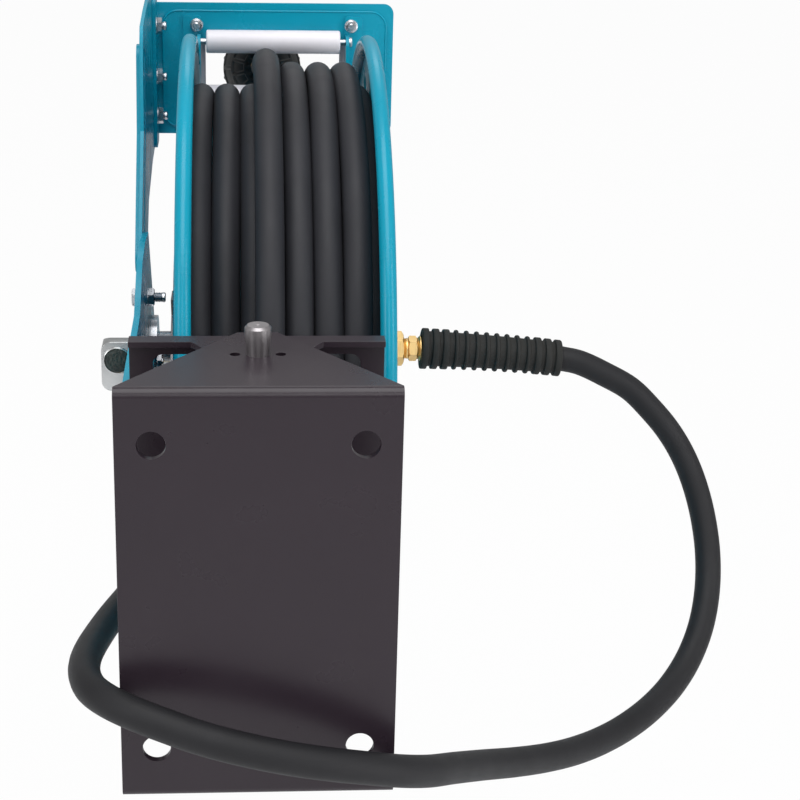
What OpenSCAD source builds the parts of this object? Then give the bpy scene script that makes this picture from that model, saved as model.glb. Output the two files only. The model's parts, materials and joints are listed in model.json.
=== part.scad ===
// Spring-driven hose reel on a swivelling wall bracket.
// Origin: centre of the four wall bolts, on the face that meets the wall.
// +X is to the right seen from the wall, +Y points away from the wall, +Z is up.

/* [Wall bracket] */
// Width of the wall plate
plate_w = 175; // [160:1:230]
// Height of the wall bracket over its two flanges
plate_h = 281; // [250:1:340]
// Thickness of the wall bracket's steel
wall_t = 5; // [3:0.5:6]
// Sideways spacing of the wall bolt holes
hole_gap_x = 130; // [100:1:140]
// Upright spacing of the wall bolt holes
hole_gap_z = 209; // [160:1:210]
// Diameter of the wall bolt holes
wall_hole_d = 18; // [10:0.5:22]
// Distance from the wall to the swivel pin
pin_y = 63.5; // [60:0.5:75]
// Diameter of the swivel pin
pin_d = 13; // [11:0.5:16]

/* [Reel bracket] */
// Width of the swivelling bracket
carrier_w = 168; // [160:1:180]
// Thickness of the swivelling bracket's steel
carrier_t = 4; // [3:0.5:5]
// Distance from the swivel pin to the swivelling bracket's upright plate
carrier_reach = 48; // [46:1:60]

/* [Pedestal and arm] */
// Thickness of the pedestal
pedestal_t = 4.5; // [3:0.5:5]
// Thickness of the guide arm and of the guide plate
arm_t = 3; // [2:0.5:3.5]
// How far the arm's pressed rib stands out
rib_h = 3.5; // [2:0.5:4]

/* [Spool] */
// Diameter over the rolled rims
rim_d = 520; // [500:1:560]
// Width between the discs at the drum
spool_w = 148.4; // [140:0.1:150]
// Sheet thickness of the discs and the drum
sheet_t = 2; // [1.5:0.5:2.5]
// Diameter of the rolled rim
bead_d = 12; // [9:0.5:13]
// Distance from the wall to the spool's axis
axle_y = 421; // [415:1:460]
// Height of the spool's axis over the wall plate's centre
axle_z = 19.5; // [10:0.5:25]
// Diameter of the fixed shaft
shaft_d = 30; // [24:1:32]

/* [Hose] */
// Outer diameter of the hose
hose_d = 21.1; // [19:0.1:21.1]
// Distance from the edge of the rolled rim in to the middle of the first layer of hose
layer_inset = 50.5; // [49:0.5:55]
// Turns in the first layer
turns_first = 7; // [5:1:7]
// Turns in the second layer
turns_second = 3; // [2:1:3]

/* [Roller guide] */
// Distance from the wall to the guide plate's near face
guide_y = 648; // [645:1:665]
// Height of the middle of the guide opening
guide_z = 216; // [212:0.5:222]
// Diameter of the guide rollers
roller_d = 21; // [18:0.5:22]
// Height of the opening between the level rollers
opening_h = 29.3; // [26:0.1:32]
// Width of the opening between the upright rollers
opening_w = 124; // [110:1:130]
// Diameter of the hose stopper
stopper_d = 76; // [70:1:80]

/* [Ratchet] */
// Number of ratchet teeth
teeth = 6; // [4:1:8]
// Outer radius of the ratchet wheel
tooth_r = 60; // [56:0.5:61]
// Angle that the pawl swings from rest into the teeth
pawl_swing = 18; // [16:1:22]

/* [Hidden] */

$fn = 64;
eps = 0.01;
run_gap = 0.05;
seat_gap = 0.3;

plate_bend = 6;
flange_end = 106.5;
flange_tip = 26;
lock_hole_d = 6.4;
lock_hole_x = 14.4;
washer_t = 2;

hole_r = pin_d / 2 + run_gap;
carrier_top = plate_h / 2 - wall_t - 0.5;
carrier_bottom = -plate_h / 2 + wall_t + washer_t;
carrier_y = pin_y + carrier_reach;
lip = 8.5;
tongue_w = 78;
window_w = 137;
window_low = 72;
window_high = 118;
window_round = 7;

pedestal_x = -89;
pedestal_low = -65;
pedestal_high = 103;
pedestal_end = 45;
foot_high = 35;
foot_w = 74;
foot_bolts = [[-68, -50], [-28, -50], [-68, 20], [-28, 20]];
bolt_d = 8;
small_bolt_d = 6;
arm_bolt_at = [[370, 81], [350, 20]];
arm_x = pedestal_x - arm_t;

guide_x = 19.5;
guide_left = -88;
guide_right = 130;
press_depth = 1.5;
border = 7;
window_over = 11;
flange_bolt_y = guide_y - 15;
flange_bolt_z = [173, 209, 255];
nut_x = [-50.2, 91];
level_rise = (opening_h + roller_d) / 2;
upright_off = (opening_w + roller_d) / 2;
nut_rise = level_rise + 13.15;
nut_z = [guide_z - nut_rise, guide_z + nut_rise];
guide_low = guide_z - nut_rise - 24.7;
guide_high = guide_z + nut_rise + 19.7;
axle_d = 6;
roller_clear = 2;
roller_y = guide_y - press_depth - roller_clear - roller_d / 2;
upright_y = guide_y + arm_t + roller_d / 2 + 4.5;
roller_len = opening_w - 2.4;
upright_len = 2 * level_rise + 7.2;
ear_t = 3;
ear_gap = 5;
yoke_t = 2.5;
yoke_w = 2 * upright_off + 21;

spool_left = -53.4;
spool_right = spool_left + spool_w;
dish = 8;
dish_r = 110;
layer_r = rim_d / 2 - layer_inset;
drum_r = layer_r - hose_d / 2 - seat_gap;
tie_inset = 26.65;
tie_r = drum_r - tie_inset;
tie_count = 6;
disc_hole_r = 26;
flange_r = 28.5;
shaft_bolt_r = 21.5;
shaft_bolt_angles = [-10, -90, -170];
shaft_flange_t = 5;
shaft_bore = 14;
shaft_over = 15;
shaft_left = pedestal_x - arm_t - 9;
shaft_end = spool_right + dish + shaft_over;
bush_r = 24;
case_r = 115;
case_w = 46;
coil_first_x = spool_left + hose_d / 2 + 0.25;
second_r = layer_r + hose_d * 0.853;
top_turn_x = coil_first_x + hose_d * 2.5;
top_turn_r = second_r + 7.5;
top_turn_rise = 3.3;

pawl_at = [-76, -64.5];
pawl_tip = [-49.5, -12.3];
wheel_t = 4;
wheel_x = spool_left - dish - sheet_t - wheel_t;
pawl_t = 4;
pawl_x = wheel_x - 5 * seat_gap;
pin_cap_t = 0.9;
root_r = 42;
tooth_start = 180;

adapter_hex = 29.4;
adapter_hex_w = 8;
adapter_neck = 4;
adapter_neck_d = 17.4;
ferrule_x = shaft_end + adapter_hex_w + adapter_neck;
ferrule_hex = hose_d + seat_gap;
ferrule_hex_w = 7.5;
ferrule_w = 10.5;
restrictor_x = ferrule_x + ferrule_w + seat_gap;
restrictor_len = 119.05;
restrictor_tilt = 4.43;
restrictor_d = 34.6;
restrictor_end_d = 31;

lead_route = [
    [259.5, 421, 10.3], [276.9, 419, 6.9], [298.2, 416, -2.5], [319.8, 412, -14.1],
    [337.1, 405.2, -29.9], [352.2, 397.4, -47], [364.3, 388, -66.3], [373.3, 376.6, -88.3],
    [379.1, 362.8, -112.7], [381, 346.2, -138], [377.8, 326.9, -162.2], [369.1, 305.4, -183.6],
    [354.9, 282.5, -200.6], [336.1, 258.5, -212.3], [313.8, 233.6, -218.3], [289.2, 207.9, -219.2],
    [263.7, 181.9, -215.6], [237.6, 155.5, -207.9], [210.7, 127.9, -196.1], [183.2, 97.9, -180.3],
    [156.2, 65.5, -161.6], [131.5, 32.5, -142.7], [111, 4.5, -127], [90.5, -15, -114.2],
    [68, -26.5, -104.4], [44.3, -33.8, -96.6], [18.5, -37.7, -89.5], [-8.6, -38.7, -82.2],
    [-35.5, -36.5, -75], [-59, -30.5, -68.9], [-78, -22.5, -65], [-94, -10.5, -63.4],
    [-106, 7.5, -64.6], [-112.5, 34, -69], [-114.5, 64, -75.5], [-113.5, 94, -82.5],
    [-110.5, 126, -89.6], [-106.4, 157.2, -95.8], [-101.5, 187.9, -101.8], [-96.5, 218, -107.9],
    [-92, 248, -114], [-89, 278, -121], [-87, 308, -127], [-86, 336, -132]
];
lead_end_dir = [0.03, 0.985, -0.17];

// Places children on the spool's axis, their height along +X from x
module on_axis(x) {
    translate([x, axle_y, axle_z])
        rotate([0, 90, 0])
            children();
}

// Stands a flat outline drawn in Y and Z up at x, t thick along +X
module yz_plate(x, t) {
    translate([x, 0, 0])
        rotate([90, 0, 90])
            linear_extrude(t)
                children();
}

// Stands a flat outline drawn in X and Z up at y, t thick along +Y
module xz_plate(y, t) {
    translate([0, y + t, 0])
        rotate([90, 0, 0])
            linear_extrude(t)
                children();
}

module along_y(at, r, len) {
    translate(at)
        rotate([-90, 0, 0])
            cylinder(r = r, h = len);
}

module along_x(at, r, len) {
    translate(at)
        rotate([0, 90, 0])
            cylinder(r = r, h = len);
}

module rounded_box(w, h, r) {
    square([w - 2 * r, h], center = true);
    square([w, h - 2 * r], center = true);
    for (x = [-1, 1])
        for (y = [-1, 1])
            translate([x * (w / 2 - r), y * (h / 2 - r)])
                circle(r = r);
}

// A strip with round ends through points of a plane
module strip(points, r) {
    for (p = points)
        translate(p)
            circle(r = r);
    for (i = [0:len(points) - 2]) {
        run = points[i + 1] - points[i];
        translate(points[i])
            rotate(atan2(run[1], run[0]))
                translate([0, eps - r])
                    square([norm(run), 2 * (r - eps)]);
    }
}

module ring(outer_r, inner_r, h) {
    difference() {
        cylinder(r = outer_r, h = h);
        translate([0, 0, -eps])
            cylinder(r = inner_r, h = h + 2 * eps);
    }
}

// Hexagon bolt pointing along +Z from under its head, with a nut whose near face is at grip
module hex_bolt(d, len, grip) {
    head_r = d * 0.94;
    head_h = d * 0.65;
    translate([0, 0, -head_h])
        cylinder(r = head_r, h = head_h, $fn = 6);
    cylinder(d = d, h = len);
    translate([0, 0, grip])
        cylinder(r = head_r, h = head_h, $fn = 6);
}

// Section through a C shape: open along +Y, with rounded outer bends at y = 0
module bent_c(depth, low, high, t, r) {
    difference() {
        union() {
            translate([r, low])
                square([depth - r, high - low]);
            translate([0, low + r])
                square([r, high - low - 2 * r]);
            for (z = [low + r, high - r])
                translate([r, z])
                    circle(r = r);
        }
        translate([t, low + t])
            square([depth, high - low - 2 * t]);
    }
}

module wall_flange_outline() {
    polygon([
        [-plate_w / 2, 0], [plate_w / 2, 0], [plate_w / 2, plate_bend],
        [flange_tip / 2, flange_end], [-flange_tip / 2, flange_end], [-plate_w / 2, plate_bend]
    ]);
}

module wall_bracket() {
    color([0.23, 0.2, 0.22])
        difference() {
            intersection() {
                translate([-plate_w / 2, 0, 0])
                    rotate([90, 0, 90])
                        linear_extrude(plate_w)
                            bent_c(flange_end, -plate_h / 2, plate_h / 2, wall_t, plate_bend);
                translate([0, 0, -plate_h])
                    linear_extrude(2 * plate_h)
                        wall_flange_outline();
            }
            for (x = [-1, 1])
                for (z = [-1, 1])
                    along_y([x * hole_gap_x / 2, -1, z * hole_gap_z / 2], wall_hole_d / 2, wall_t + 2);
            translate([0, pin_y, -plate_h])
                cylinder(r = hole_r, h = 2 * plate_h);
            for (x = [-1, 1])
                translate([x * lock_hole_x, pin_y, 0])
                    cylinder(d = lock_hole_d, h = plate_h);
        }
}

pin_rise = 19.4;
pin_head_d = pin_d * 1.3;
pin_head_h = 7;
pin_below = 18;

module pivot_pin() {
    top = plate_h / 2;
    color([0.62, 0.6, 0.6])
        difference() {
            translate([0, pin_y, 0])
                rotate_extrude()
                    polygon([
                        [0, -top - pin_below], [pin_d / 2 - 1, -top - pin_below],
                        [pin_d / 2, -top - pin_below + 1], [pin_d / 2, top],
                        [pin_d / 2 + 0.9, top], [pin_head_d / 2, top + pin_rise - pin_head_h],
                        [pin_head_d / 2, top + pin_rise - 1.6], [pin_head_d / 2 - 1.6, top + pin_rise],
                        [2.2, top + pin_rise], [0, top + pin_rise - 1.2]
                    ]);
            translate([-pin_d, pin_y, -top - pin_below / 2 - 1.5])
                rotate([0, 90, 0])
                    cylinder(d = 3.4, h = 2 * pin_d);
        }
}

module pivot_cotter() {
    z = -plate_h / 2 - pin_below / 2 - 1.5;
    color([0.7, 0.7, 0.72]) {
        along_x([-pin_d / 2 - 5, pin_y, z], 1.5, pin_d + 16);
        translate([-pin_d / 2 - 8, pin_y, z])
            rotate([90, 0, 0])
                rotate_extrude()
                    translate([3.5, 0])
                        circle(r = 1.2, $fn = 24);
    }
}

module pivot_washers() {
    color([0.7, 0.7, 0.72])
        for (z = [-plate_h / 2 + wall_t, -plate_h / 2 - washer_t])
            translate([0, pin_y, z])
                ring(pin_d, hole_r, washer_t);
}

module carrier_flange_outline() {
    difference() {
        union() {
            polygon([
                [-carrier_w / 2, carrier_y - lip], [-tongue_w / 2 - 4, carrier_y - lip],
                [-tongue_w / 2, carrier_y - lip - 6], [-pin_d * 1.6, pin_y],
                [pin_d * 1.6, pin_y], [tongue_w / 2, carrier_y - lip - 6],
                [tongue_w / 2 + 4, carrier_y - lip], [carrier_w / 2, carrier_y - lip],
                [carrier_w / 2, carrier_y + carrier_t], [-carrier_w / 2, carrier_y + carrier_t]
            ]);
            translate([0, pin_y])
                circle(r = pin_d * 1.6);
        }
        translate([0, pin_y])
            circle(r = hole_r);
    }
}

module reel_bracket() {
    color([0.23, 0.2, 0.22])
        difference() {
            union() {
                xz_plate(carrier_y, carrier_t)
                    translate([0, (carrier_top + carrier_bottom) / 2])
                        square([carrier_w, carrier_top - carrier_bottom], center = true);
                for (z = [carrier_top - carrier_t, carrier_bottom])
                    translate([0, 0, z])
                        linear_extrude(carrier_t)
                            carrier_flange_outline();
            }
            xz_plate(carrier_y - 1, carrier_t + 2)
                translate([0, (window_low + window_high) / 2])
                    rounded_box(window_w, window_high - window_low, window_round);
            for (p = foot_bolts)
                along_y([p[0], carrier_y - 1, p[1]], bolt_d / 2 + 0.2, carrier_t + 2);
        }
}

module pedestal_outline() {
    difference() {
        union() {
            polygon([
                [carrier_y + carrier_t, pedestal_low], [330, pedestal_low],
                [axle_y + 25, axle_z - 37.4], [axle_y + 37.4, axle_z + 25],
                [395, 128], [345, 134], [302, 130], [255, pedestal_high],
                [carrier_y + carrier_t, pedestal_high]
            ]);
            translate([axle_y, axle_z])
                circle(r = pedestal_end);
        }
        translate([axle_y, axle_z])
            circle(d = shaft_d + 0.4);
        for (p = arm_bolt_at)
            translate(p)
                circle(d = bolt_d + 0.4);
        for (a = shaft_bolt_angles)
            translate([axle_y + shaft_bolt_r * cos(a), axle_z + shaft_bolt_r * sin(a)])
                circle(d = small_bolt_d + 0.4);
        translate([axle_y + pawl_at[0], axle_z + pawl_at[1]])
            circle(d = bolt_d - 0.3);
    }
}

module pedestal() {
    y = carrier_y + carrier_t;
    color([0.03, 0.5, 0.62]) {
        yz_plate(pedestal_x, pedestal_t)
            pedestal_outline();
        difference() {
            xz_plate(y, pedestal_t)
                translate([pedestal_x + pedestal_t + foot_w / 2 - eps, (pedestal_low + foot_high) / 2])
                    square([foot_w, foot_high - pedestal_low], center = true);
            for (p = foot_bolts)
                along_y([p[0], y - 1, p[1]], bolt_d / 2 + 0.2, pedestal_t + 2);
        }
        // Stiffening flanges along the lower and the upper edge
        translate([pedestal_x + pedestal_t - eps, y + pedestal_t, pedestal_low])
            cube([14, 200, pedestal_t]);
        translate([pedestal_x + pedestal_t - eps, y + pedestal_t, pedestal_high - pedestal_t])
            cube([14, 70, pedestal_t]);
    }
}

module pedestal_bolts() {
    grip = carrier_t + pedestal_t;
    color([0.75, 0.75, 0.77])
        for (p = foot_bolts)
            translate([p[0], carrier_y, p[1]])
                rotate([-90, 0, 0])
                    hex_bolt(bolt_d, grip + 9, grip);
}

module arm_outline() {
    difference() {
        union() {
            polygon([
                [340, 0], [352, 62], [369, 110], [442, 200], [452, 267], [462, 282],
                [507, 287], [552, 290], [guide_y + arm_t, 288], [guide_y + arm_t, 146],
                [580, 142], [500, 126], [392, 18], [384, 0]
            ]);
            strip([[352, 6], [374, 6]], 12);
        }
        for (p = arm_bolt_at)
            translate(p)
                circle(d = bolt_d + 0.4);
        for (z = flange_bolt_z)
            translate([flange_bolt_y, z])
                circle(d = bolt_d + 0.4);
    }
}

module arm_rib(r) {
    strip([[402, 104], [463, 192], [476, 254]], r);
}

module guide_arm() {
    color([0.03, 0.6, 0.73])
        difference() {
            union() {
                yz_plate(arm_x, arm_t)
                    arm_outline();
                yz_plate(arm_x - rib_h, rib_h + eps)
                    arm_rib(11);
            }
            yz_plate(arm_x - rib_h + arm_t, rib_h + 1)
                arm_rib(8);
        }
}

module arm_bolts() {
    grip = arm_t + pedestal_t;
    color([0.75, 0.75, 0.77])
        for (p = arm_bolt_at)
            translate([arm_x, p[0], p[1]])
                rotate([0, 90, 0])
                    hex_bolt(bolt_d, grip + 14, grip);
}

guide_flange_low = 146;
guide_flange_high = 282;
guide_flange_y = guide_y - 34;

module guide_plate() {
    mid_x = (guide_left + guide_right) / 2;
    mid_z = (guide_low + guide_high) / 2;
    w = guide_right - guide_left;
    h = guide_high - guide_low;
    color([0.02, 0.48, 0.6])
        difference() {
            union() {
                xz_plate(guide_y, arm_t) {
                    translate([mid_x, mid_z])
                        rounded_box(w, h, 9);
                    translate([guide_left, guide_low])
                        square([20, h]);
                }
                xz_plate(guide_y - press_depth, press_depth + eps)
                    translate([mid_x, mid_z])
                        rounded_box(w - 2 * border, h - 2 * border, 14);
                yz_plate(guide_left - 1, arm_t)
                    translate([(guide_flange_y + guide_y + arm_t) / 2, (guide_flange_low + guide_flange_high) / 2])
                        rounded_box(guide_y + arm_t - guide_flange_y, guide_flange_high - guide_flange_low, 6);
            }
            xz_plate(guide_y + arm_t - press_depth, press_depth + 1)
                translate([mid_x, mid_z])
                    rounded_box(w - 2 * border - 2 * arm_t, h - 2 * border - 2 * arm_t, 11);
            xz_plate(guide_y - 5, 12)
                translate([guide_x, guide_z])
                    rounded_box(opening_w + 2 * window_over, opening_h + 15, 4);
            for (x = nut_x)
                for (z = nut_z)
                    along_y([x, guide_y - 5, z], small_bolt_d / 2 + 0.2, 12);
            for (z = flange_bolt_z)
                along_x([guide_left - 5, flange_bolt_y, z], bolt_d / 2 + 0.2, 12);
        }
}

module guide_bolts() {
    grip = 2 * arm_t;
    color([0.75, 0.75, 0.77])
        for (z = flange_bolt_z)
            translate([arm_x, flange_bolt_y, z])
                rotate([0, 90, 0])
                    hex_bolt(bolt_d, grip + 9, grip);
}

ear_face = guide_y - press_depth;
ear_reach = roller_d / 2 + 13.5;

// Bent ear that carries the level axles; side is -1 on the left and 1 on the right
module ear(side) {
    inner = guide_x + side * (roller_len / 2 + ear_gap);
    ear_x = side > 0 ? inner : inner - ear_t;
    base_x = side > 0 ? inner : inner - 16;
    difference() {
        union() {
            xz_plate(ear_face - yoke_t, yoke_t)
                translate([base_x + 8, guide_z])
                    rounded_box(16, 2 * nut_rise + 17.4, 3);
            yz_plate(ear_x, ear_t)
                translate([ear_face - ear_reach / 2, guide_z])
                    rounded_box(ear_reach, 2 * level_rise + 11.7, 8);
        }
        for (z = nut_z)
            along_y([nut_x[side > 0 ? 1 : 0], ear_face - 5, z], small_bolt_d / 2 + 0.2, 12);
        for (s = [-1, 1])
            along_x([ear_x - 5, roller_y, guide_z + s * level_rise], axle_d / 2 + run_gap, 12);
        xz_plate(ear_face - yoke_t - 1, yoke_t + 2)
            translate([base_x + 8 + side * 8, guide_z])
                square([10, opening_h], center = true);
    }
}

module ear_left() {
    color([0.02, 0.5, 0.62])
        ear(-1);
}

module ear_right() {
    color([0.02, 0.5, 0.62])
        ear(1);
}

// Bent yoke that carries one end of both upright axles; side is 1 on top and -1 below
module yoke(side) {
    tab = guide_z + side * (upright_len / 2 + 1);
    tab_z = side > 0 ? tab : tab - yoke_t;
    face = guide_y + arm_t - press_depth;
    reach = upright_y + 9 - face;
    base_z = side > 0 ? tab : tab - 18;
    difference() {
        union() {
            xz_plate(face, yoke_t)
                translate([guide_x, base_z + 9])
                    rounded_box(yoke_w, 18, 3);
            translate([guide_x, face + reach / 2, tab_z])
                linear_extrude(yoke_t)
                    rounded_box(yoke_w, reach, 6);
            translate([guide_x - yoke_w / 2, face, tab_z])
                cube([yoke_w, 6.5, yoke_t]);
        }
        for (x = nut_x)
            along_y([x, face - 5, nut_z[side > 0 ? 1 : 0]], small_bolt_d / 2 + 0.2, 12);
        for (s = [-1, 1])
            translate([guide_x + s * upright_off, upright_y, tab_z - 5])
                cylinder(r = axle_d / 2 + run_gap, h = 12);
    }
}

module yoke_top() {
    color([0.02, 0.5, 0.62])
        yoke(1);
}

module yoke_bottom() {
    color([0.02, 0.5, 0.62])
        yoke(-1);
}

module guide_nuts() {
    head_face = guide_y + arm_t - press_depth + yoke_t;
    grip = head_face - (ear_face - yoke_t);
    color([0.75, 0.75, 0.77])
        for (x = nut_x)
            for (z = nut_z)
                translate([x, head_face, z])
                    rotate([90, 0, 0])
                        hex_bolt(small_bolt_d, grip + 7, grip);
}

module roller_axles() {
    reach = roller_len / 2 + ear_gap + ear_t;
    rise = upright_len / 2 + 1 + yoke_t;
    color([0.75, 0.75, 0.77]) {
        for (s = [-1, 1]) {
            z = guide_z + s * level_rise;
            along_x([guide_x - reach - 1.5, roller_y, z], axle_d / 2, 2 * reach + 3);
            for (x = [guide_x - reach - 3, guide_x + reach])
                along_x([x, roller_y, z], 4.5, 3);
        }
        for (s = [-1, 1]) {
            x = guide_x + s * upright_off;
            translate([x, upright_y, guide_z - rise - 1.5])
                cylinder(r = axle_d / 2, h = 2 * rise + 3);
            for (z = [guide_z - rise - 3, guide_z + rise])
                translate([x, upright_y, z])
                    cylinder(r = 4.5, h = 3);
        }
    }
}

module roller(len) {
    bore = axle_d / 2 + run_gap;
    rotate_extrude()
        polygon([
            [bore, 0], [roller_d / 2 - 1, 0], [roller_d / 2, 1],
            [roller_d / 2, len - 1], [roller_d / 2 - 1, len], [bore, len]
        ]);
}

module level_roller(side) {
    color([0.85, 0.84, 0.88])
        translate([guide_x - roller_len / 2, roller_y, guide_z + side * level_rise])
            rotate([0, 90, 0])
                roller(roller_len);
}

module upright_roller(side) {
    color([0.85, 0.84, 0.88])
        translate([guide_x + side * upright_off, upright_y, guide_z - upright_len / 2])
            roller(upright_len);
}

module top_roller() { level_roller(1); }
module bottom_roller() { level_roller(-1); }
module left_roller() { upright_roller(-1); }
module right_roller() { upright_roller(1); }

module shaft() {
    inner = pedestal_x + pedestal_t;
    color([0.78, 0.78, 0.8])
        difference() {
            union() {
                on_axis(shaft_left)
                    cylinder(d = shaft_d, h = shaft_end - shaft_left);
                on_axis(inner)
                    cylinder(r = flange_r, h = shaft_flange_t);
            }
            on_axis(shaft_left - 1)
                cylinder(d = shaft_bore, h = shaft_end - shaft_left + 2);
            for (a = shaft_bolt_angles)
                along_x([inner - 1, axle_y + shaft_bolt_r * cos(a), axle_z + shaft_bolt_r * sin(a)], small_bolt_d / 2 + 0.2, 12);
            // Groove for the retaining ring
            on_axis(spool_right + dish + 5)
                ring(shaft_d, shaft_d / 2 - 1.2, 1.8);
            // Cross hole under the rotary seal
            translate([30, axle_y, axle_z - shaft_d])
                cylinder(d = 9, h = 2 * shaft_d);
        }
}

module shaft_bolts() {
    grip = pedestal_t + shaft_flange_t;
    color([0.75, 0.75, 0.77])
        for (a = shaft_bolt_angles)
            translate([pedestal_x, axle_y + shaft_bolt_r * cos(a), axle_z + shaft_bolt_r * sin(a)])
                rotate([0, 90, 0])
                    hex_bolt(small_bolt_d, grip + 5, grip);
}

module shaft_ring() {
    color([0.6, 0.6, 0.62])
        on_axis(spool_right + dish + 5.1)
            ring(shaft_d / 2 + 4, shaft_d / 2 - 1, 1.6);
}

arbor_x = -46;
arbor_w = 40;

module spring_arbor() {
    color([0.5, 0.5, 0.52])
        on_axis(arbor_x)
            ring(21, shaft_d / 2 + run_gap, arbor_w);
}

block_w = 26;
block_low = -7.5;
block_high = 35;
block_front = 393;
block_cut = 7;
port_d = 21;
port_rim = 1.6;

module swivel_block() {
    right = shaft_left + 2;
    left = right - block_w;
    mid = (left + right) / 2;
    color([0.8, 0.8, 0.82])
        difference() {
            union() {
                xz_plate(block_front, axle_y + 24 - block_front)
                    polygon([
                        [left, block_low + block_cut], [left + block_cut - 2, block_low],
                        [right - 2, block_low], [right, block_low + 2],
                        [right, block_high - 2], [right - 2, block_high],
                        [left + block_cut - 2, block_high], [left, block_high - block_cut]
                    ]);
                along_y([mid, block_front - port_rim, axle_z], port_d / 2 + 1.6, port_rim + 1);
                translate([mid, block_front + 12, block_low - 7])
                    cylinder(d = 10, h = 8);
            }
            on_axis(right - 9)
                cylinder(r = shaft_d / 2 + run_gap, h = 20);
            on_axis(left + 5)
                cylinder(d = shaft_bore, h = 20);
            along_y([mid, block_front - port_rim - 1, axle_z], port_d / 2, axle_y - block_front + 1);
        }
}

module port_plug() {
    x = shaft_left + 2 - block_w / 2;
    color([0.12, 0.14, 0.14])
        difference() {
            along_y([x, block_front, axle_z], port_d / 2 - run_gap, 11);
            translate([x, block_front + 6, axle_z])
                rotate([90, 0, 0])
                    cylinder(r = 6, h = 10, $fn = 6);
        }
}

module inlet_adapter() {
    color([0.78, 0.58, 0.25])
        difference() {
            union() {
                on_axis(shaft_end)
                    cylinder(d = adapter_hex, h = adapter_hex_w, $fn = 6);
                on_axis(shaft_end + adapter_hex_w)
                    cylinder(d = adapter_neck_d, h = adapter_neck);
                on_axis(shaft_end - 16)
                    cylinder(d = shaft_bore - 0.2, h = 16);
            }
            on_axis(shaft_end - 17)
                cylinder(d = 9, h = 40);
        }
}

module hose_nut() {
    color([0.78, 0.58, 0.25])
        difference() {
            union() {
                on_axis(ferrule_x)
                    cylinder(d = ferrule_hex, h = ferrule_hex_w, $fn = 6);
                on_axis(ferrule_x + ferrule_hex_w)
                    cylinder(d = ferrule_hex - 0.4, h = ferrule_w - ferrule_hex_w);
            }
            on_axis(ferrule_x - 1)
                cylinder(d = 9, h = 20);
        }
}

ribs = 14;
wide_rib = 5.6;
slim_rib = 3.2;

module restrictor_outline() {
    inner = hose_d / 2 + run_gap;
    rib_pitch = (restrictor_len - wide_rib) / (ribs - 1);
    // The wall under the ribs thins a little towards the free end
    polygon([
        [inner, 0], [restrictor_d / 2 - 2.4, 0], [restrictor_end_d / 2 - 2.2, restrictor_len],
        [inner, restrictor_len]
    ]);
    for (i = [0:ribs - 1]) {
        w = i < 3 || i > ribs - 4 ? wide_rib : slim_rib;
        r = restrictor_d / 2 + i * (restrictor_end_d - restrictor_d) / 2 / (ribs - 1);
        translate([inner, i * rib_pitch + (wide_rib - w) / 2])
            square([r - inner, w]);
    }
}

// Places children on the restrictor's own axis, which droops a little from the hose nut
module on_restrictor(x) {
    translate([restrictor_x, axle_y, axle_z])
        rotate([0, 90 + restrictor_tilt, 0])
            translate([0, 0, x])
                children();
}

module bend_restrictor() {
    color([0.16, 0.16, 0.15]) {
        on_restrictor(0)
            rotate_extrude()
                restrictor_outline();
    }
}

// A tube swept along points: each ring stands square to the route
sides = 10;
function unit(v) = v / norm(v);
function heading(p, i) =
    unit(p[min(i + 1, len(p) - 1)] - p[max(i - 1, 0)]);
function across(t) = unit(cross(t, [0.05, 0.1, 1]));
function ring_points(at, t, r) =
    let (u = across(t), v = cross(t, u))
        [for (s = [0:sides - 1]) at + r * (cos(360 * s / sides) * u + sin(360 * s / sides) * v)];

module swept_tube(route, r, first, last) {
    count = len(route);
    points = [
        for (i = [0:count - 1])
            let (t = i == 0 ? first : (i == count - 1 ? last : heading(route, i)))
                each ring_points(route[i], unit(t), r)
    ];
    faces = concat(
        [[for (s = [0:sides - 1]) s]],
        [for (i = [0:count - 2]) for (s = [0:sides - 1])
            let (a = i * sides + s, b = i * sides + (s + 1) % sides)
                each [[a, a + sides, b], [b, a + sides, b + sides]]],
        [[for (s = [sides - 1:-1:0]) (count - 1) * sides + s]]
    );
    polyhedron(points, faces);
}

lead_start_dir = [cos(restrictor_tilt), 0, -sin(restrictor_tilt)];

module lead_hose() {
    color([0.17, 0.17, 0.18]) {
        swept_tube(lead_route, hose_d / 2, lead_start_dir, lead_end_dir);
    }
}

module lead_end_fitting() {
    at = lead_route[len(lead_route) - 1];
    t = unit(lead_end_dir);
    color([0.78, 0.58, 0.25])
        translate(at)
            rotate([0, acos(t[2]), atan2(t[1], t[0])]) {
                translate([0, 0, seat_gap / 3])
                    cylinder(d = 24, h = 20);
                translate([0, 0, 20])
                    cylinder(d = 22 / cos(30), h = 11, $fn = 6);
                translate([0, 0, 31])
                    cylinder(d = 16.5, h = 14);
            }
}

// The last turn leaves over the top of the spool, straight through the guide
tail_rise = guide_z - axle_z - top_turn_rise;
tail_reach = guide_y - axle_y;
tail_run = sqrt(pow(tail_reach, 2) + pow(tail_rise, 2) - pow(top_turn_r, 2));
tail_top_angle = atan2(tail_reach, tail_rise) - atan2(tail_run, top_turn_r);
tail_beyond = 152;
stopper_at = upright_y - guide_y + stopper_d / 2 + 4.8;

module on_last_turn() {
    translate([0, 0, top_turn_rise])
        on_axis(top_turn_x)
            rotate([0, 0, 180 - tail_top_angle])
                children();
}

// Places children on the tail with their height along it, at a distance beyond the guide plate
module on_tail(beyond) {
    on_last_turn()
        translate([top_turn_r, -tail_run - beyond, 0])
            rotate([90, 0, 0])
                children();
}

module outlet_hose() {
    color([0.17, 0.17, 0.18]) {
        on_last_turn()
            rotate_extrude(angle = 180 + tail_top_angle)
                translate([top_turn_r, 0])
                    circle(d = hose_d);
        on_tail(-tail_run)
            cylinder(d = hose_d, h = tail_run + tail_beyond);
    }
}

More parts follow.
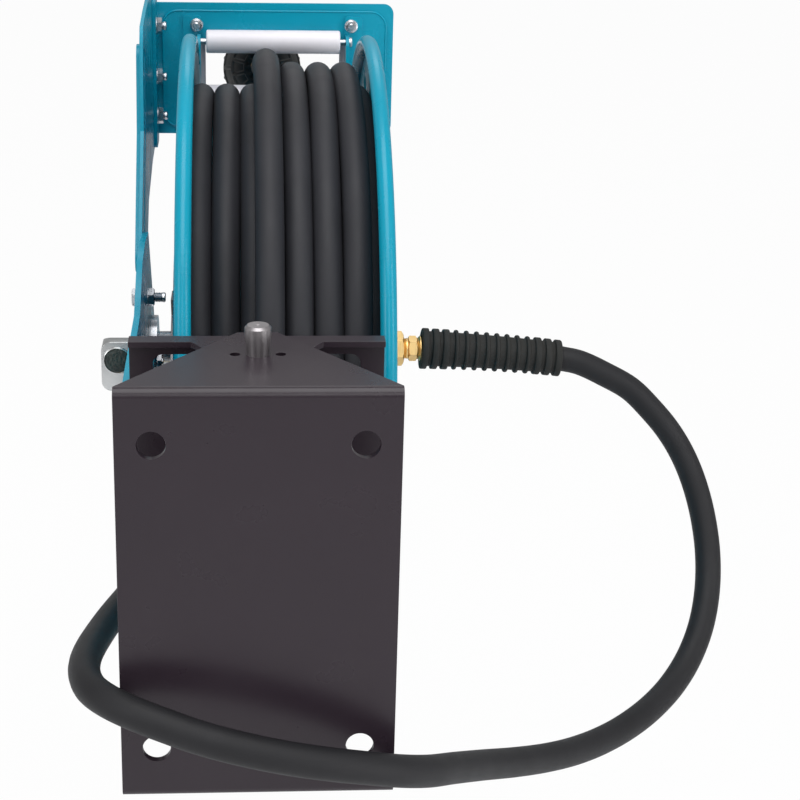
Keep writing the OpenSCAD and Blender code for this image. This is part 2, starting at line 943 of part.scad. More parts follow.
module stopper_halves() {
    r = stopper_d / 2;
    bore = hose_d / 2 + run_gap;
    split = 1.5;
    color([0.1, 0.1, 0.1])
        on_tail(stopper_at)
            difference() {
                union() {
                    sphere(r = r - 2.5);
                    for (z = [-24:8:24])
                        translate([0, 0, z - 1.6])
                            cylinder(r = sqrt(r * r - z * z), h = 3.2);
                }
                translate([0, 0, -r - 1])
                    cylinder(r = bore, h = 2 * r + 2);
                translate([-r - 1, -split / 2, -r - 1])
                    cube([2 * r + 2, split, 2 * r + 2]);
                for (x = [-1, 1])
                    translate([x * (hose_d / 2 + 9), -r, 0])
                        rotate([-90, 0, 0])
                            cylinder(d = 5.4, h = 2 * r);
            }
}

module stopper_screws() {
    color([0.75, 0.75, 0.77])
        on_tail(stopper_at)
            for (x = [-1, 1])
                translate([x * (hose_d / 2 + 9), -24, 0])
                    rotate([-90, 0, 0])
                        cylinder(d = 5, h = 48);
}

module outlet_end_fitting() {
    color([0.78, 0.58, 0.25])
        on_tail(tail_beyond) {
            cylinder(d = 24, h = 18);
            translate([0, 0, 18])
                cylinder(d = 22 / cos(30), h = 10, $fn = 6);
            translate([0, 0, 28])
                cylinder(d = 16.5, h = 13);
        }
}

// Half section of a disc, as radius and distance outwards from the hose side
module disc_section() {
    polygon([
        [disc_hole_r, dish], [dish_r, dish], [dish_r + 6, 0], [rim_d / 2 - bead_d / 2, 0],
        [rim_d / 2 - bead_d / 2, sheet_t], [dish_r + 7, sheet_t], [dish_r + 1, dish + sheet_t],
        [disc_hole_r, dish + sheet_t]
    ]);
    translate([rim_d / 2 - bead_d / 2, sheet_t - bead_d / 2 + 2])
        circle(d = bead_d);
}

disc_ribs = 8;
press_h = 3;
rib_line = [[dish_r + 28, 0], [rim_d / 2 - 34, 0]];

// A disc lying with its hose side at z = 0 and its outside up
module disc() {
    difference() {
        union() {
            rotate_extrude($fn = 128)
                disc_section();
            for (i = [0:disc_ribs - 1])
                rotate(i * 360 / disc_ribs + 22.5)
                    translate([0, 0, sheet_t - eps])
                        linear_extrude(press_h)
                            strip(rib_line, 11);
        }
        for (i = [0:disc_ribs - 1])
            rotate(i * 360 / disc_ribs + 22.5)
                translate([0, 0, -eps])
                    linear_extrude(press_h + eps)
                        strip(rib_line, 8.5);
        for (i = [0:tie_count - 1])
            rotate((i + 0.5) * 360 / tie_count)
                translate([tie_r, 0, -1])
                    cylinder(d = bolt_d + 0.4, h = dish + 5);
    }
}

module disc_left() {
    color([0.09, 0.66, 0.76])
        on_axis(spool_left)
            mirror([0, 0, 1])
                disc();
}

module disc_right() {
    color([0.09, 0.66, 0.76])
        on_axis(spool_right)
            disc();
}

module drum() {
    color([0.08, 0.6, 0.7])
        difference() {
            on_axis(spool_left)
                ring(drum_r, drum_r - sheet_t, spool_w);
            translate([elbow_x, axle_y, axle_z])
                cylinder(r = 13, h = drum_r + 10);
        }
}

module tie_bolts() {
    color([0.75, 0.75, 0.77])
        for (i = [0:tie_count - 1])
            on_axis(spool_left - sheet_t)
                rotate((i + 0.5) * 360 / tie_count)
                    translate([tie_r, 0, 0])
                        hex_bolt(bolt_d, spool_w + 2 * sheet_t + 8, spool_w + 2 * sheet_t);
}

// Flanged plain bearings, one in each disc
module bearings() {
    color([0.72, 0.6, 0.38]) {
        on_axis(spool_left - dish - sheet_t - 2.4) {
            ring(disc_hole_r - run_gap, shaft_d / 2 + run_gap, 2.4 + dish + sheet_t);
        }
        on_axis(spool_right) {
            ring(disc_hole_r - run_gap, shaft_d / 2 + run_gap, dish + sheet_t);
            translate([0, 0, dish + sheet_t])
                ring(32, shaft_d / 2 + run_gap, 2.4);
        }
    }
}

seal_x = 8;
seal_w = 44;
elbow_x = 30;

module hub_tube() {
    x = spool_left + case_w + 4;
    color([0.45, 0.46, 0.48])
        difference() {
            union() {
                on_axis(x)
                    ring(bush_r + 4, bush_r, spool_right - x);
                on_axis(x)
                    ring(46, bush_r, 4);
                on_axis(spool_right - 4)
                    ring(46, bush_r, 4);
            }
            translate([elbow_x, axle_y, axle_z])
                cylinder(r = 8, h = 60);
        }
}

// Housing that turns round the shaft and passes its air to the hose
module rotary_seal() {
    color([0.78, 0.58, 0.25])
        difference() {
            on_axis(seal_x)
                ring(bush_r - run_gap, shaft_d / 2 + run_gap, seal_w);
            translate([elbow_x, axle_y, axle_z])
                cylinder(d = 10, h = 60);
        }
}

module outlet_elbow() {
    color([0.78, 0.58, 0.25])
        difference() {
            union() {
                translate([elbow_x, axle_y, axle_z + bush_r + 0.1])
                    cylinder(r = 7.9, h = drum_r - bush_r - 12);
                translate([elbow_x, axle_y, axle_z + bush_r + 6])
                    cylinder(d = 22 / cos(30), h = 10, $fn = 6);
                translate([elbow_x, axle_y, axle_z + drum_r - 14])
                    cylinder(r = 12, h = 13);
            }
            translate([elbow_x, axle_y, axle_z])
                cylinder(d = 10, h = drum_r - 18);
        }
}

module spring_case() {
    color([0.45, 0.46, 0.48])
        on_axis(spool_left + 0.1)
            difference() {
                cylinder(r = case_r, h = case_w + 3.9);
                translate([0, 0, 2])
                    cylinder(r = case_r - 2, h = case_w);
                translate([0, 0, -1])
                    cylinder(r = bush_r, h = case_w + 8);
            }
}

spring_turns = 7;
spring_step = 15;
spring_strip = 1.6;
function spiral_r(a) = 24 + (case_r - 2 - 24 - spring_strip - 1) * a / (360 * spring_turns);

module power_spring() {
    angles = [0:spring_step:360 * spring_turns];
    outer = [for (a = angles) (spiral_r(a) + spring_strip) * [cos(a), sin(a)]];
    inner = [for (a = [360 * spring_turns:-spring_step:0]) spiral_r(a) * [cos(a), sin(a)]];
    color([0.35, 0.36, 0.4])
        on_axis(arbor_x)
            linear_extrude(arbor_w) {
                polygon(concat(outer, inner));
            }
}

// Saw teeth: each rises along its back and drops at a radial face
module ratchet_outline() {
    pitch = 360 / teeth;
    polygon([
        for (i = [0:teeth - 1])
            for (p = [[0, root_r], [pitch / 2, (root_r + tooth_r) / 2], [pitch - 0.5, tooth_r]])
                let (a = tooth_start + i * pitch + p[0])
                    p[1] * [cos(a), sin(a)]
    ]);
}

module ratchet_wheel() {
    color([0.62, 0.62, 0.64])
        difference() {
            yz_plate(wheel_x, wheel_t)
                translate([axle_y, axle_z])
                    ratchet_outline();
            on_axis(wheel_x - 1)
                cylinder(r = disc_hole_r + 1, h = wheel_t + 2);
        }
}

// Round turns lying side by side, filled in between them down to the drum
module coil_layer(x, r, turns, floor_r) {
    for (i = [0:turns - 1])
        translate([r, x + i * hose_d])
            circle(d = hose_d);
    translate([floor_r, x])
        square([r + hose_d / 8 - floor_r, (turns - 1) * hose_d]);
}

module hose_coil() {
    color([0.17, 0.17, 0.18])
        on_axis(0)
            rotate_extrude($fn = 128) {
                coil_layer(coil_first_x, layer_r, turns_first, layer_r - 8);
                coil_layer(
                    coil_first_x + (turns_first - turns_second - 0.5) * hose_d,
                    second_r, turns_second, layer_r
                );
            }
}

// Pawl drawn in its rest place, swung clear of the teeth
module pawl_swung() {
    translate([0, axle_y + pawl_at[0], axle_z + pawl_at[1]])
        rotate([pawl_swing, 0, 0])
            translate([0, -axle_y - pawl_at[0], -axle_z - pawl_at[1]])
                children();
}

module pawl() {
    pivot = [axle_y + pawl_at[0], axle_z + pawl_at[1]];
    tip = [axle_y + pawl_tip[0], axle_z + pawl_tip[1]];
    inner = pedestal_x + pedestal_t;
    color([0.62, 0.62, 0.64])
        pawl_swung()
            difference() {
                union() {
                    yz_plate(pawl_x, pawl_t)
                        strip([pivot, tip], 4);
                    yz_plate(inner + seat_gap, pawl_x + pawl_t - inner - seat_gap)
                        translate(pivot)
                            circle(r = 8);
                }
                along_x([inner - 5, pivot[0], pivot[1]], bolt_d / 2 - 0.2 + run_gap, 40);
            }
}

module pawl_pin() {
    pivot = [axle_y + pawl_at[0], axle_z + pawl_at[1]];
    end = pawl_x + pawl_t + run_gap;
    color([0.75, 0.75, 0.77]) {
        along_x([pedestal_x - 2, pivot[0], pivot[1]], bolt_d / 2 - 0.2, end + 2 + eps - pedestal_x);
        along_x([pedestal_x - 2, pivot[0], pivot[1]], 6, 2);
        along_x([end, pivot[0], pivot[1]], 6.5, pin_cap_t);
    }
}

// Leaf spring that presses on the back of the pawl
module pawl_spring() {
    inner = pedestal_x + pedestal_t;
    foot = [axle_y + pawl_at[0] - 26, axle_z + pawl_at[1] + 2];
    color([0.4, 0.4, 0.44]) {
        yz_plate(inner, 6)
            translate(foot)
                square([12, 14], center = true);
        yz_plate(inner + 6 - eps, pawl_x + pawl_t - inner - 6)
            translate(foot)
                strip([[0, 0], [14.5, 34]], 0.7);
    }
}

wall_bracket();
pivot_pin();
pivot_cotter();
pivot_washers();
reel_bracket();
pedestal();
pedestal_bolts();
guide_arm();
arm_bolts();
guide_plate();
guide_bolts();
ear_left();
ear_right();
yoke_top();
yoke_bottom();
guide_nuts();
roller_axles();
top_roller();
bottom_roller();
left_roller();
right_roller();
shaft();
shaft_bolts();
shaft_ring();
spring_arbor();
swivel_block();
port_plug();
inlet_adapter();
hose_nut();
bend_restrictor();
lead_hose();
lead_end_fitting();
outlet_hose();
stopper_halves();
stopper_screws();
outlet_end_fitting();
disc_left();
disc_right();
drum();
tie_bolts();
bearings();
hub_tube();
rotary_seal();
outlet_elbow();
spring_case();
power_spring();
ratchet_wheel();
hose_coil();
pawl();
pawl_pin();
pawl_spring();
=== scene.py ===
# %% [markdown]
# # An air hose reel on its wall bracket
# The lesson dresses a finished construction model. Every steel sheet, roller
# and fitting is already there in metres, in its right place, so the work here
# is what a camera sees: rounded edges, rolled rims, rubber, paint and light.
# Sizes are in metres, +X is right, +Y points away from the wall and +Z is up.

import bmesh
import bpy
import json
from math import acos, asin, atan2, cos, pi, radians, sin, sqrt, tan
from mathutils import Matrix, Vector, noise

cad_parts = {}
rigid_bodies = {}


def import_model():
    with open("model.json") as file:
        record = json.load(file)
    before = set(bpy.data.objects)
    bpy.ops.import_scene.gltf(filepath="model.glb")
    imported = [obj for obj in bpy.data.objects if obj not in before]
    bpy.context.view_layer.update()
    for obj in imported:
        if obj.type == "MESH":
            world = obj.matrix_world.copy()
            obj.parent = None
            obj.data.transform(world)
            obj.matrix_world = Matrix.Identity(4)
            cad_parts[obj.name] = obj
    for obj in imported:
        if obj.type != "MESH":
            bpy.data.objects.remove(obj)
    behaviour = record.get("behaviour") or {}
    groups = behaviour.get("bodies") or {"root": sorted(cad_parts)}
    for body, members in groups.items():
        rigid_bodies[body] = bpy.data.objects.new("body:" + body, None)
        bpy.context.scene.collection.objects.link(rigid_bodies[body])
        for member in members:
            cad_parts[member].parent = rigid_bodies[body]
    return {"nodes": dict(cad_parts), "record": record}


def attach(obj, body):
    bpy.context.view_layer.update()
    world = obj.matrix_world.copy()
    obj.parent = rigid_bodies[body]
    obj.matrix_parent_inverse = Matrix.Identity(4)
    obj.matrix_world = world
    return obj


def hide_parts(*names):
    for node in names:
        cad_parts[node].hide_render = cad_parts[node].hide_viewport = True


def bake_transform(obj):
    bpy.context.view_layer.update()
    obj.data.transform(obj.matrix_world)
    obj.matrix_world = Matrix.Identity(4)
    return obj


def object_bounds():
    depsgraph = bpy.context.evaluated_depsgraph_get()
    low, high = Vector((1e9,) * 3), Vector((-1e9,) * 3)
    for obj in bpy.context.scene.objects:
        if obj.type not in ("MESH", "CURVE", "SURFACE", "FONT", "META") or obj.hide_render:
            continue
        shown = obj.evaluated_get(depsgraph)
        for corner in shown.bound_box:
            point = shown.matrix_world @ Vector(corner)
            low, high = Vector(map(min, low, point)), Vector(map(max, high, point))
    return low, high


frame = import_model()
nodes = frame["nodes"]
cad_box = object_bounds()
axle = Vector((0, 0.421, 0.0195))
for plain in list(bpy.data.materials):
    bpy.data.materials.remove(plain)
print("nodes from the model:", len(nodes))

# %% [markdown]
# ## Camera
# The picture was taken from the wall side with a long lens, a little above
# the reel. The camera looks down by about nineteen degrees, so both
# the wall plate and the top of its flange are seen.

# %% Camera
camera_place = Vector((-0.0113, -1.0079, 0.5174))
camera_turn = 0.0634
camera_dip = 0.3344
camera_roll = 0.0186
picture_size = 800
lens_pixels = 1801
sensor_width = 36
camera_shift = 0.065

camera_data = bpy.data.cameras.new("camera")
camera_data.sensor_width = sensor_width
camera_data.lens = lens_pixels * sensor_width / picture_size
camera_data.shift_x = camera_shift
camera_data.shift_y = -camera_shift
camera_data.clip_start = 0.05
camera_data.clip_end = 60
camera = bpy.data.objects.new("camera", camera_data)
camera.location = camera_place
camera.rotation_euler = (
    Matrix.Rotation(-camera_turn, 3, "Z")
    @ Matrix.Rotation(pi / 2 - camera_dip, 3, "X")
    @ Matrix.Rotation(camera_roll, 3, "Z")
).to_euler()
bpy.context.scene.collection.objects.link(camera)
bpy.context.scene.camera = camera
print("lens in millimetres:", round(camera_data.lens, 1))

# %% [markdown]
# ## Small helpers
# Operators work on whatever is selected, so each step starts by clearing the
# selection and taking hold of one object.


# %% Helpers for selecting and finishing
def release():
    """Nothing is selected and no object is being edited."""
    if bpy.context.object and bpy.context.object.mode != "OBJECT":
        bpy.ops.object.mode_set(mode="OBJECT")
    bpy.ops.object.select_all(action="DESELECT")


def hold(piece):
    """Only this object is selected, and it is the active one."""
    release()
    piece.select_set(True)
    bpy.context.view_layer.objects.active = piece
    return piece


def placed(name, data):
    """A new object in the scene."""
    piece = bpy.data.objects.new(name, data)
    bpy.context.scene.collection.objects.link(piece)
    return piece


def keep_place(piece, place=None):
    """The object goes to the origin and its place, or a given one, goes into its mesh."""
    if place:
        piece.matrix_world = place
    hold(piece)
    bpy.ops.object.transform_apply(location=True, rotation=True, scale=True)
    return piece


def outward(piece):
    """Merges doubles and turns every face outwards."""
    hold(piece)
    bpy.ops.object.mode_set(mode="EDIT")
    bpy.ops.mesh.select_all(action="SELECT")
    bpy.ops.mesh.remove_doubles(threshold=1e-6)
    bpy.ops.mesh.normals_make_consistent(inside=False)
    bpy.ops.object.mode_set(mode="OBJECT")
    return piece


def round_edges(piece, width, steps=2, sharp=30):
    """A small round on every edge that is sharper than an angle in degrees."""
    hold(piece)
    bevel = piece.modifiers.new("edges", "BEVEL")
    bevel.width = width
    bevel.segments = steps
    bevel.limit_method = "ANGLE"
    bevel.angle_limit = radians(sharp)
    bevel.miter_outer = "MITER_ARC"
    bpy.ops.object.modifier_apply(modifier=bevel.name)
    return piece


def smooth(piece, sharp=32, flat_faces=False):
    """Smooth shading. With flat_faces, large faces stay flat up to their rounds."""
    hold(piece)
    bpy.ops.object.shade_smooth_by_angle(angle=radians(sharp))
    if flat_faces:
        weigh = piece.modifiers.new("flat faces", "WEIGHTED_NORMAL")
        weigh.keep_sharp = True
        weigh.weight = 100
        bpy.ops.object.modifier_apply(modifier=weigh.name)
    return piece


def dress(piece, material):
    piece.data.materials.clear()
    piece.data.materials.append(material)
    return piece


def fit(piece, material, body, *stands_for):
    """The last step for a piece: finish, body, slot and the nodes it stands for."""
    dress(piece, material)
    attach(piece, body)
    if stands_for:
        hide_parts(*stands_for)
    return piece


# %% [markdown]
# ## Light and floor
# The background of the picture is white with hardly a shadow. The floor lies
# well below the reel, because the reel hangs on a wall. Floor and sky turn
# white for the camera only, so the reel itself is lit by lamps at a plain
# level and its colours stay as they are written. The lamps above and in front
# are deep, so the bend of the wall plate shows one wide pale line.


# %% Floor, sky and lamps
def white_for_camera(tree, plain, white, out, part):
    """A plain surface or sky that the camera, and nothing else, sees white."""
    mix = tree.nodes.new("ShaderNodeMixShader")
    light = tree.nodes.new("ShaderNodeLightPath")
    seen = tree.nodes.new("ShaderNodeMath")
    seen.operation = "MULTIPLY"
    seen.inputs[1].default_value = part
    tree.links.new(light.outputs["Is Camera Ray"], seen.inputs[0])
    tree.links.new(seen.outputs[0], mix.inputs["Fac"])
    tree.links.new(plain.outputs[0], mix.inputs[1])
    tree.links.new(white.outputs[0], mix.inputs[2])
    tree.links.new(mix.outputs[0], out.inputs["Surface"])


floor_drop = 0.32
floor_reach = 14
floor_tone = (0.86, 0.86, 0.87, 1)
floor_whiteness = 0.96
sky_level = 0.38

release()
bpy.ops.mesh.primitive_plane_add(size=floor_reach, location=(0, 0.4, cad_box[0][2] - floor_drop))
floor = keep_place(bpy.context.object)
floor.name = "floor"

floor_material = bpy.data.materials.new("floor")
floor_material.use_nodes = True
tree = floor_material.node_tree
tree.nodes.clear()
floor_out = tree.nodes.new("ShaderNodeOutputMaterial")
floor_paint = tree.nodes.new("ShaderNodeBsdfDiffuse")
floor_paint.inputs["Color"].default_value = floor_tone
floor_glow = tree.nodes.new("ShaderNodeEmission")
white_for_camera(tree, floor_paint, floor_glow, floor_out, floor_whiteness)
dress(floor, floor_material)

world = bpy.data.worlds.new("studio")
bpy.context.scene.world = world
world.use_nodes = True
tree = world.node_tree
tree.nodes.clear()
sky_out = tree.nodes.new("ShaderNodeOutputWorld")
sky_soft = tree.nodes.new("ShaderNodeBackground")
sky_soft.inputs["Strength"].default_value = sky_level
sky_white = tree.nodes.new("ShaderNodeBackground")
sky_white.inputs["Strength"].default_value = 1.0
for sky in (sky_soft, sky_white):
    sky.inputs["Color"].default_value = (1, 1, 1, 1)
white_for_camera(tree, sky_soft, sky_white, sky_out, 1.0)


def soft_lamp(name, place, target, size, power):
    """A rectangular lamp in watts that looks at a target."""
    lamp_data = bpy.data.lights.new(name, "AREA")
    lamp_data.shape = "RECTANGLE"
    lamp_data.size = size[0]
    lamp_data.size_y = size[1]
    lamp_data.energy = power
    lamp = placed(name, lamp_data)
    lamp.location = place
    lamp.rotation_euler = (Vector(target) - Vector(place)).to_track_quat("-Z", "Y").to_euler()


soft_lamp("lamp_top", (0.0, -0.4, 2.4), (0, 0.2, 0), (1.8, 2.4), 42)
soft_lamp("lamp_left", (-2.2, -1.3, 1.0), (0, 0.2, 0), (0.9, 1.8), 16)
soft_lamp("lamp_right", (2.3, -1.0, 1.1), (0, 0.2, 0), (0.9, 1.8), 16)
soft_lamp("lamp_front", (0.1, -2.8, 1.6), (0, 0.3, 0), (0.9, 1.4), 11)
soft_lamp("lamp_low", (1.9, -1.4, -0.3), (0, 0.3, 0.1), (1.2, 0.4), 8)
soft_lamp("lamp_back", (0.3, 2.9, 2.4), (0, 0.4, 0), (1.6, 1.2), 8)
bpy.context.scene.view_settings.view_transform = "Standard"
print("view transform:", bpy.context.scene.view_settings.view_transform)

# %% [markdown]
# ## Effects that several finishes share
# Powder paint, bare steel and rubber all need a little unevenness. Each
# effect is one shader node group, built once, with the numbers that change
# from finish to finish as its inputs.


# %% Group builder
def new_group(name, inputs, outputs):
    """An empty shader group. A socket is given as (name, kind, value)."""
    group = bpy.data.node_groups.new(name, "ShaderNodeTree")
    for label, kind, value in inputs:
        socket = group.interface.new_socket(label, in_out="INPUT", socket_type=kind)
        socket.default_value = value
    for label, kind in outputs:
        group.interface.new_socket(label, in_out="OUTPUT", socket_type=kind)
    start = group.nodes.new("NodeGroupInput")
    end = group.nodes.new("NodeGroupOutput")
    return group, start, end


def feed(tree, value, socket):
    """A number is written into a socket, and a socket is linked to it."""
    if isinstance(value, (int, float)):
        socket.default_value = value
    else:
        tree.links.new(value, socket)


def math_node(tree, operation, a, b):
    """A math node. a and b are numbers or sockets."""
    step = tree.nodes.new("ShaderNodeMath")
    step.operation = operation
    feed(tree, a, step.inputs[0])
    feed(tree, b, step.inputs[1])
    return step.outputs[0]


def noise_node(tree, place, size, detail):
    """Noise at a place. Its size is a number or a socket."""
    cloud = tree.nodes.new("ShaderNodeTexNoise")
    cloud.inputs["Detail"].default_value = detail
    tree.links.new(place, cloud.inputs["Vector"])
    feed(tree, size, cloud.inputs["Scale"])
    return cloud.outputs["Fac"]


def bump_node(tree, height, depth, distance):
    """A normal that is bumped by a height, as strongly as the depth says."""
    bump = tree.nodes.new("ShaderNodeBump")
    bump.inputs["Distance"].default_value = distance
    tree.links.new(height, bump.inputs["Height"])
    tree.links.new(depth, bump.inputs["Strength"])
    return bump.outputs["Normal"]


def colour_mix(tree, part, first, second):
    """A colour between two colours, by a socket from 0 to 1."""
    mix = tree.nodes.new("ShaderNodeMix")
    mix.data_type = "RGBA"
    tree.links.new(part, mix.inputs["Factor"])
    for label, tone in (("A", first), ("B", second)):
        socket = [s for s in mix.inputs if s.name == label and s.type == "RGBA"][0]
        socket.default_value = (*tone, 1)
    return [s for s in mix.outputs if s.type == "RGBA"][0]


number = "NodeSocketFloat"
vector = "NodeSocketVector"

# %% Clouding: a slow, faint change over a surface
clouding, start, end = new_group(
    "clouding",
    [("Size", number, 20.0), ("Low", number, 0.4), ("High", number, 0.6)],
    [("Value", number)],
)
place = clouding.nodes.new("ShaderNodeTexCoord")
cloud = noise_node(clouding, place.outputs["Object"], start.outputs["Size"], 4)
spread = clouding.nodes.new("ShaderNodeMapRange")
spread.inputs["From Min"].default_value = 0.3
spread.inputs["From Max"].default_value = 0.7
clouding.links.new(cloud, spread.inputs["Value"])
clouding.links.new(start.outputs["Low"], spread.inputs["To Min"])
clouding.links.new(start.outputs["High"], spread.inputs["To Max"])
clouding.links.new(spread.outputs["Result"], end.inputs["Value"])

# %% Skin: the fine bumps of baked paint or of moulded rubber
skin_bumps, start, end = new_group(
    "skin_bumps",
    [("Size", number, 900.0), ("Depth", number, 0.1)],
    [("Normal", vector)],
)
place = skin_bumps.nodes.new("ShaderNodeTexCoord")
fine = noise_node(skin_bumps, place.outputs["Object"], start.outputs["Size"], 2)
bump = bump_node(skin_bumps, fine, start.outputs["Depth"], 0.0004)
skin_bumps.links.new(bump, end.inputs["Normal"])

# %% Grain: lines left by a tool, drawn out along one axis
grain, start, end = new_group(
    "grain",
    [("Stretch", vector, (1, 1, 1)), ("Size", number, 60.0), ("Depth", number, 0.1)],
    [("Value", number), ("Normal", vector)],
)
place = grain.nodes.new("ShaderNodeTexCoord")
along = grain.nodes.new("ShaderNodeVectorMath")
along.operation = "MULTIPLY"
grain.links.new(place.outputs["Object"], along.inputs[0])
grain.links.new(start.outputs["Stretch"], along.inputs[1])
lines = noise_node(grain, along.outputs[0], start.outputs["Size"], 3)
bump = bump_node(grain, lines, start.outputs["Depth"], 0.0002)
grain.links.new(lines, end.inputs["Value"])
grain.links.new(bump, end.inputs["Normal"])

# %% Wrap: the faint cloth print on a hose that was cured in a wound tape
wrap_print, start, end = new_group(
    "wrap_print",
    [("Turns", number, 90.0), ("Depth", number, 0.2)],
    [("Normal", vector)],
)
place = wrap_print.nodes.new("ShaderNodeTexCoord")
apart = wrap_print.nodes.new("ShaderNodeSeparateXYZ")
wrap_print.links.new(place.outputs["UV"], apart.inputs[0])
twist = math_node(wrap_print, "MULTIPLY", apart.outputs["Y"], start.outputs["Turns"])
twist = math_node(wrap_print, "ADD", twist, apart.outputs["X"])
edge = math_node(wrap_print, "PINGPONG", twist, 0.5)
edge = math_node(wrap_print, "MULTIPLY", edge, 2.0)
edge = math_node(wrap_print, "POWER", edge, 10.0)
fine = noise_node(wrap_print, place.outputs["Object"], 2600, 2)
height = math_node(wrap_print, "MULTIPLY", edge, 0.18)
height = math_node(wrap_print, "ADD", height, fine)
bump = bump_node(wrap_print, height, start.outputs["Depth"], 0.0005)
wrap_print.links.new(bump, end.inputs["Normal"])
print("shared effects:", [g.name for g in bpy.data.node_groups])

# %% [markdown]
# ## Finishes
# The bracket is charcoal powder paint, the reel is gloss teal, the hose is
# wrapped rubber, and the fittings are brass, zinc and nickel. Each finish has
# its base, what changes over it, and bumps at the size the real one has.


# %% Finish builder
finishes = {}
patch_ratio = 2.7
grain_wear = 0.22


def use(tree, group, **values):
    """A shared effect in a material's tree, with its numbers."""
    effect = tree.nodes.new("ShaderNodeGroup")
    effect.node_tree = group
    for label, value in values.items():
        effect.inputs[label].default_value = value
    return effect


def shade(tone, part):
    """The same colour, lighter or darker by a part."""
    return tuple(min(1.0, c * part) for c in tone)


def new_finish(name, base, metallic, change, cloud_size, specular):
    """A material whose colour drifts over it, with its node tree and its shader."""
    material = bpy.data.materials.new(name)
    material.use_nodes = True
    tree = material.node_tree
    shader = tree.nodes["Principled BSDF"]
    shader.inputs["Base Color"].default_value = (*base, 1)
    shader.inputs["Metallic"].default_value = metallic
    shader.inputs["Specular IOR Level"].default_value = specular
    drift = use(tree, clouding, Size=cloud_size, Low=0.0, High=1.0)
    darker, lighter = shade(base, 1 - change), shade(base, 1 + change)
    tint = colour_mix(tree, drift.outputs["Value"], darker, lighter)
    tree.links.new(tint, shader.inputs["Base Color"])
    finishes[name] = material
    return material, tree, shader


def finish_with(
    name, base, metallic, rough, skin=None, brushed=None, change=0.12, cloud_size=22.0, specular=0.5
):
    """A finish whose roughness drifts too, with skin bumps or brushed grain."""
    material, tree, shader = new_finish(name, base, metallic, change, cloud_size, specular)
    patches = use(tree, clouding, Size=cloud_size * patch_ratio, Low=rough[0], High=rough[1])
    if skin:
        bumps = use(tree, skin_bumps, Size=skin[0], Depth=skin[1])
        tree.links.new(bumps.outputs["Normal"], shader.inputs["Normal"])
        tree.links.new(patches.outputs["Value"], shader.inputs["Roughness"])
    if brushed:
        bumps = use(tree, grain, Stretch=brushed[0], Size=brushed[1], Depth=brushed[2])
        tree.links.new(bumps.outputs["Normal"], shader.inputs["Normal"])
        worn = math_node(tree, "MULTIPLY", bumps.outputs["Value"], grain_wear)
        worn = math_node(tree, "ADD", worn, patches.outputs["Value"])
        tree.links.new(worn, shader.inputs["Roughness"])
    return material


# %% Paints
charcoal = (0.0245, 0.0165, 0.0235)
teal = (0.0005, 0.31, 0.45)

finish_with(
    "bracket_steel", charcoal, 0.0, (0.26, 0.33), skin=(1100.0, 0.1), change=0.06, cloud_size=9.0,
    specular=0.42,
)
teal_paint = finish_with(
    "teal_paint", teal, 0.0, (0.24, 0.33), skin=(500.0, 0.02), change=0.05, cloud_size=11.0,
    specular=0.36,
)

# %% Metals
finish_with(
    "bare_steel", (0.40, 0.38, 0.39), 1.0, (0.22, 0.34), brushed=((1, 1, 14), 160.0, 0.25)
)
finish_with(
    "plated_steel", (0.60, 0.61, 0.64), 1.0, (0.20, 0.32), skin=(500.0, 0.08), change=0.08
)
nickel = finish_with(
    "nickel", (0.62, 0.63, 0.63), 1.0, (0.26, 0.36), skin=(420.0, 0.12), change=0.07
)
brass = finish_with(
    "brass", (0.95, 0.65, 0.28), 1.0, (0.20, 0.32), brushed=((12, 1, 1), 170.0, 0.2), change=0.08
)
finish_with(
    "bronze", (0.48, 0.31, 0.15), 1.0, (0.38, 0.5), skin=(800.0, 0.3), change=0.12
)
finish_with(
    "spring_steel", (0.13, 0.14, 0.18), 1.0, (0.3, 0.42), brushed=((1, 10, 1), 150.0, 0.2)
)

# %% Plastics and rubber
finish_with(
    "roller_plastic", (0.86, 0.83, 0.88), 0.0, (0.30, 0.42), skin=(300.0, 0.08), change=0.03
)
black_plastic = finish_with(
    "black_plastic", (0.017, 0.018, 0.018), 0.0, (0.34, 0.48), skin=(900.0, 0.2), change=0.15
)
black_rubber = finish_with(
    "black_rubber", (0.024, 0.024, 0.0225), 0.0, (0.62, 0.74), skin=(1300.0, 0.3), change=0.10,
    specular=0.3,
)
plug_filler = finish_with(
    "plug_filler", (0.021, 0.031, 0.027), 0.0, (0.3, 0.6), skin=(420.0, 0.8), change=0.6,
    cloud_size=160.0,
)


# %% Hose rubber, and a darker copy of it as painted shade on the lead-in hose
def hose_finish(name, base):
    """Rubber cured in a wound tape, whose print follows the hose."""
    material, tree, shader = new_finish(
        name, base, metallic=0.0, change=0.14, cloud_size=16.0, specular=0.3
    )
    patches = use(tree, clouding, Size=40.0, Low=0.46, High=0.54)
    tree.links.new(patches.outputs["Value"], shader.inputs["Roughness"])
    wrapping = use(tree, wrap_print, Turns=28.0, Depth=0.35)
    tree.links.new(wrapping.outputs["Normal"], shader.inputs["Normal"])
    return material


# The lead-in hose is the same rubber as the wound hose. Its darker base is painted shade, for where
# it hangs low under the reel.
hose_rubber = hose_finish("hose_rubber", (0.0258, 0.0264, 0.0315))
lead_rubber_painted_shade = hose_finish("lead_rubber_painted_shade", (0.0165, 0.0165, 0.0187))

# %% The construction parts get their finishes
slot_of = {s["node"]: s["material_slot"] for s in frame["record"]["subparts"]}
body_of = {n: b for b, members in frame["record"]["behaviour"]["bodies"].items() for n in members}
for name, node in nodes.items():
    dress(node, finishes[slot_of[name]])
print("finishes:", len(finishes))

# %% [markdown]
# ## Sheet metal and turned parts
# A pressed or turned part never has a perfectly sharp edge: the paint rounds
# it and it catches a thin line of light. Each construction part is copied,
# its triangles are joined into clean faces, and its edges are rounded.


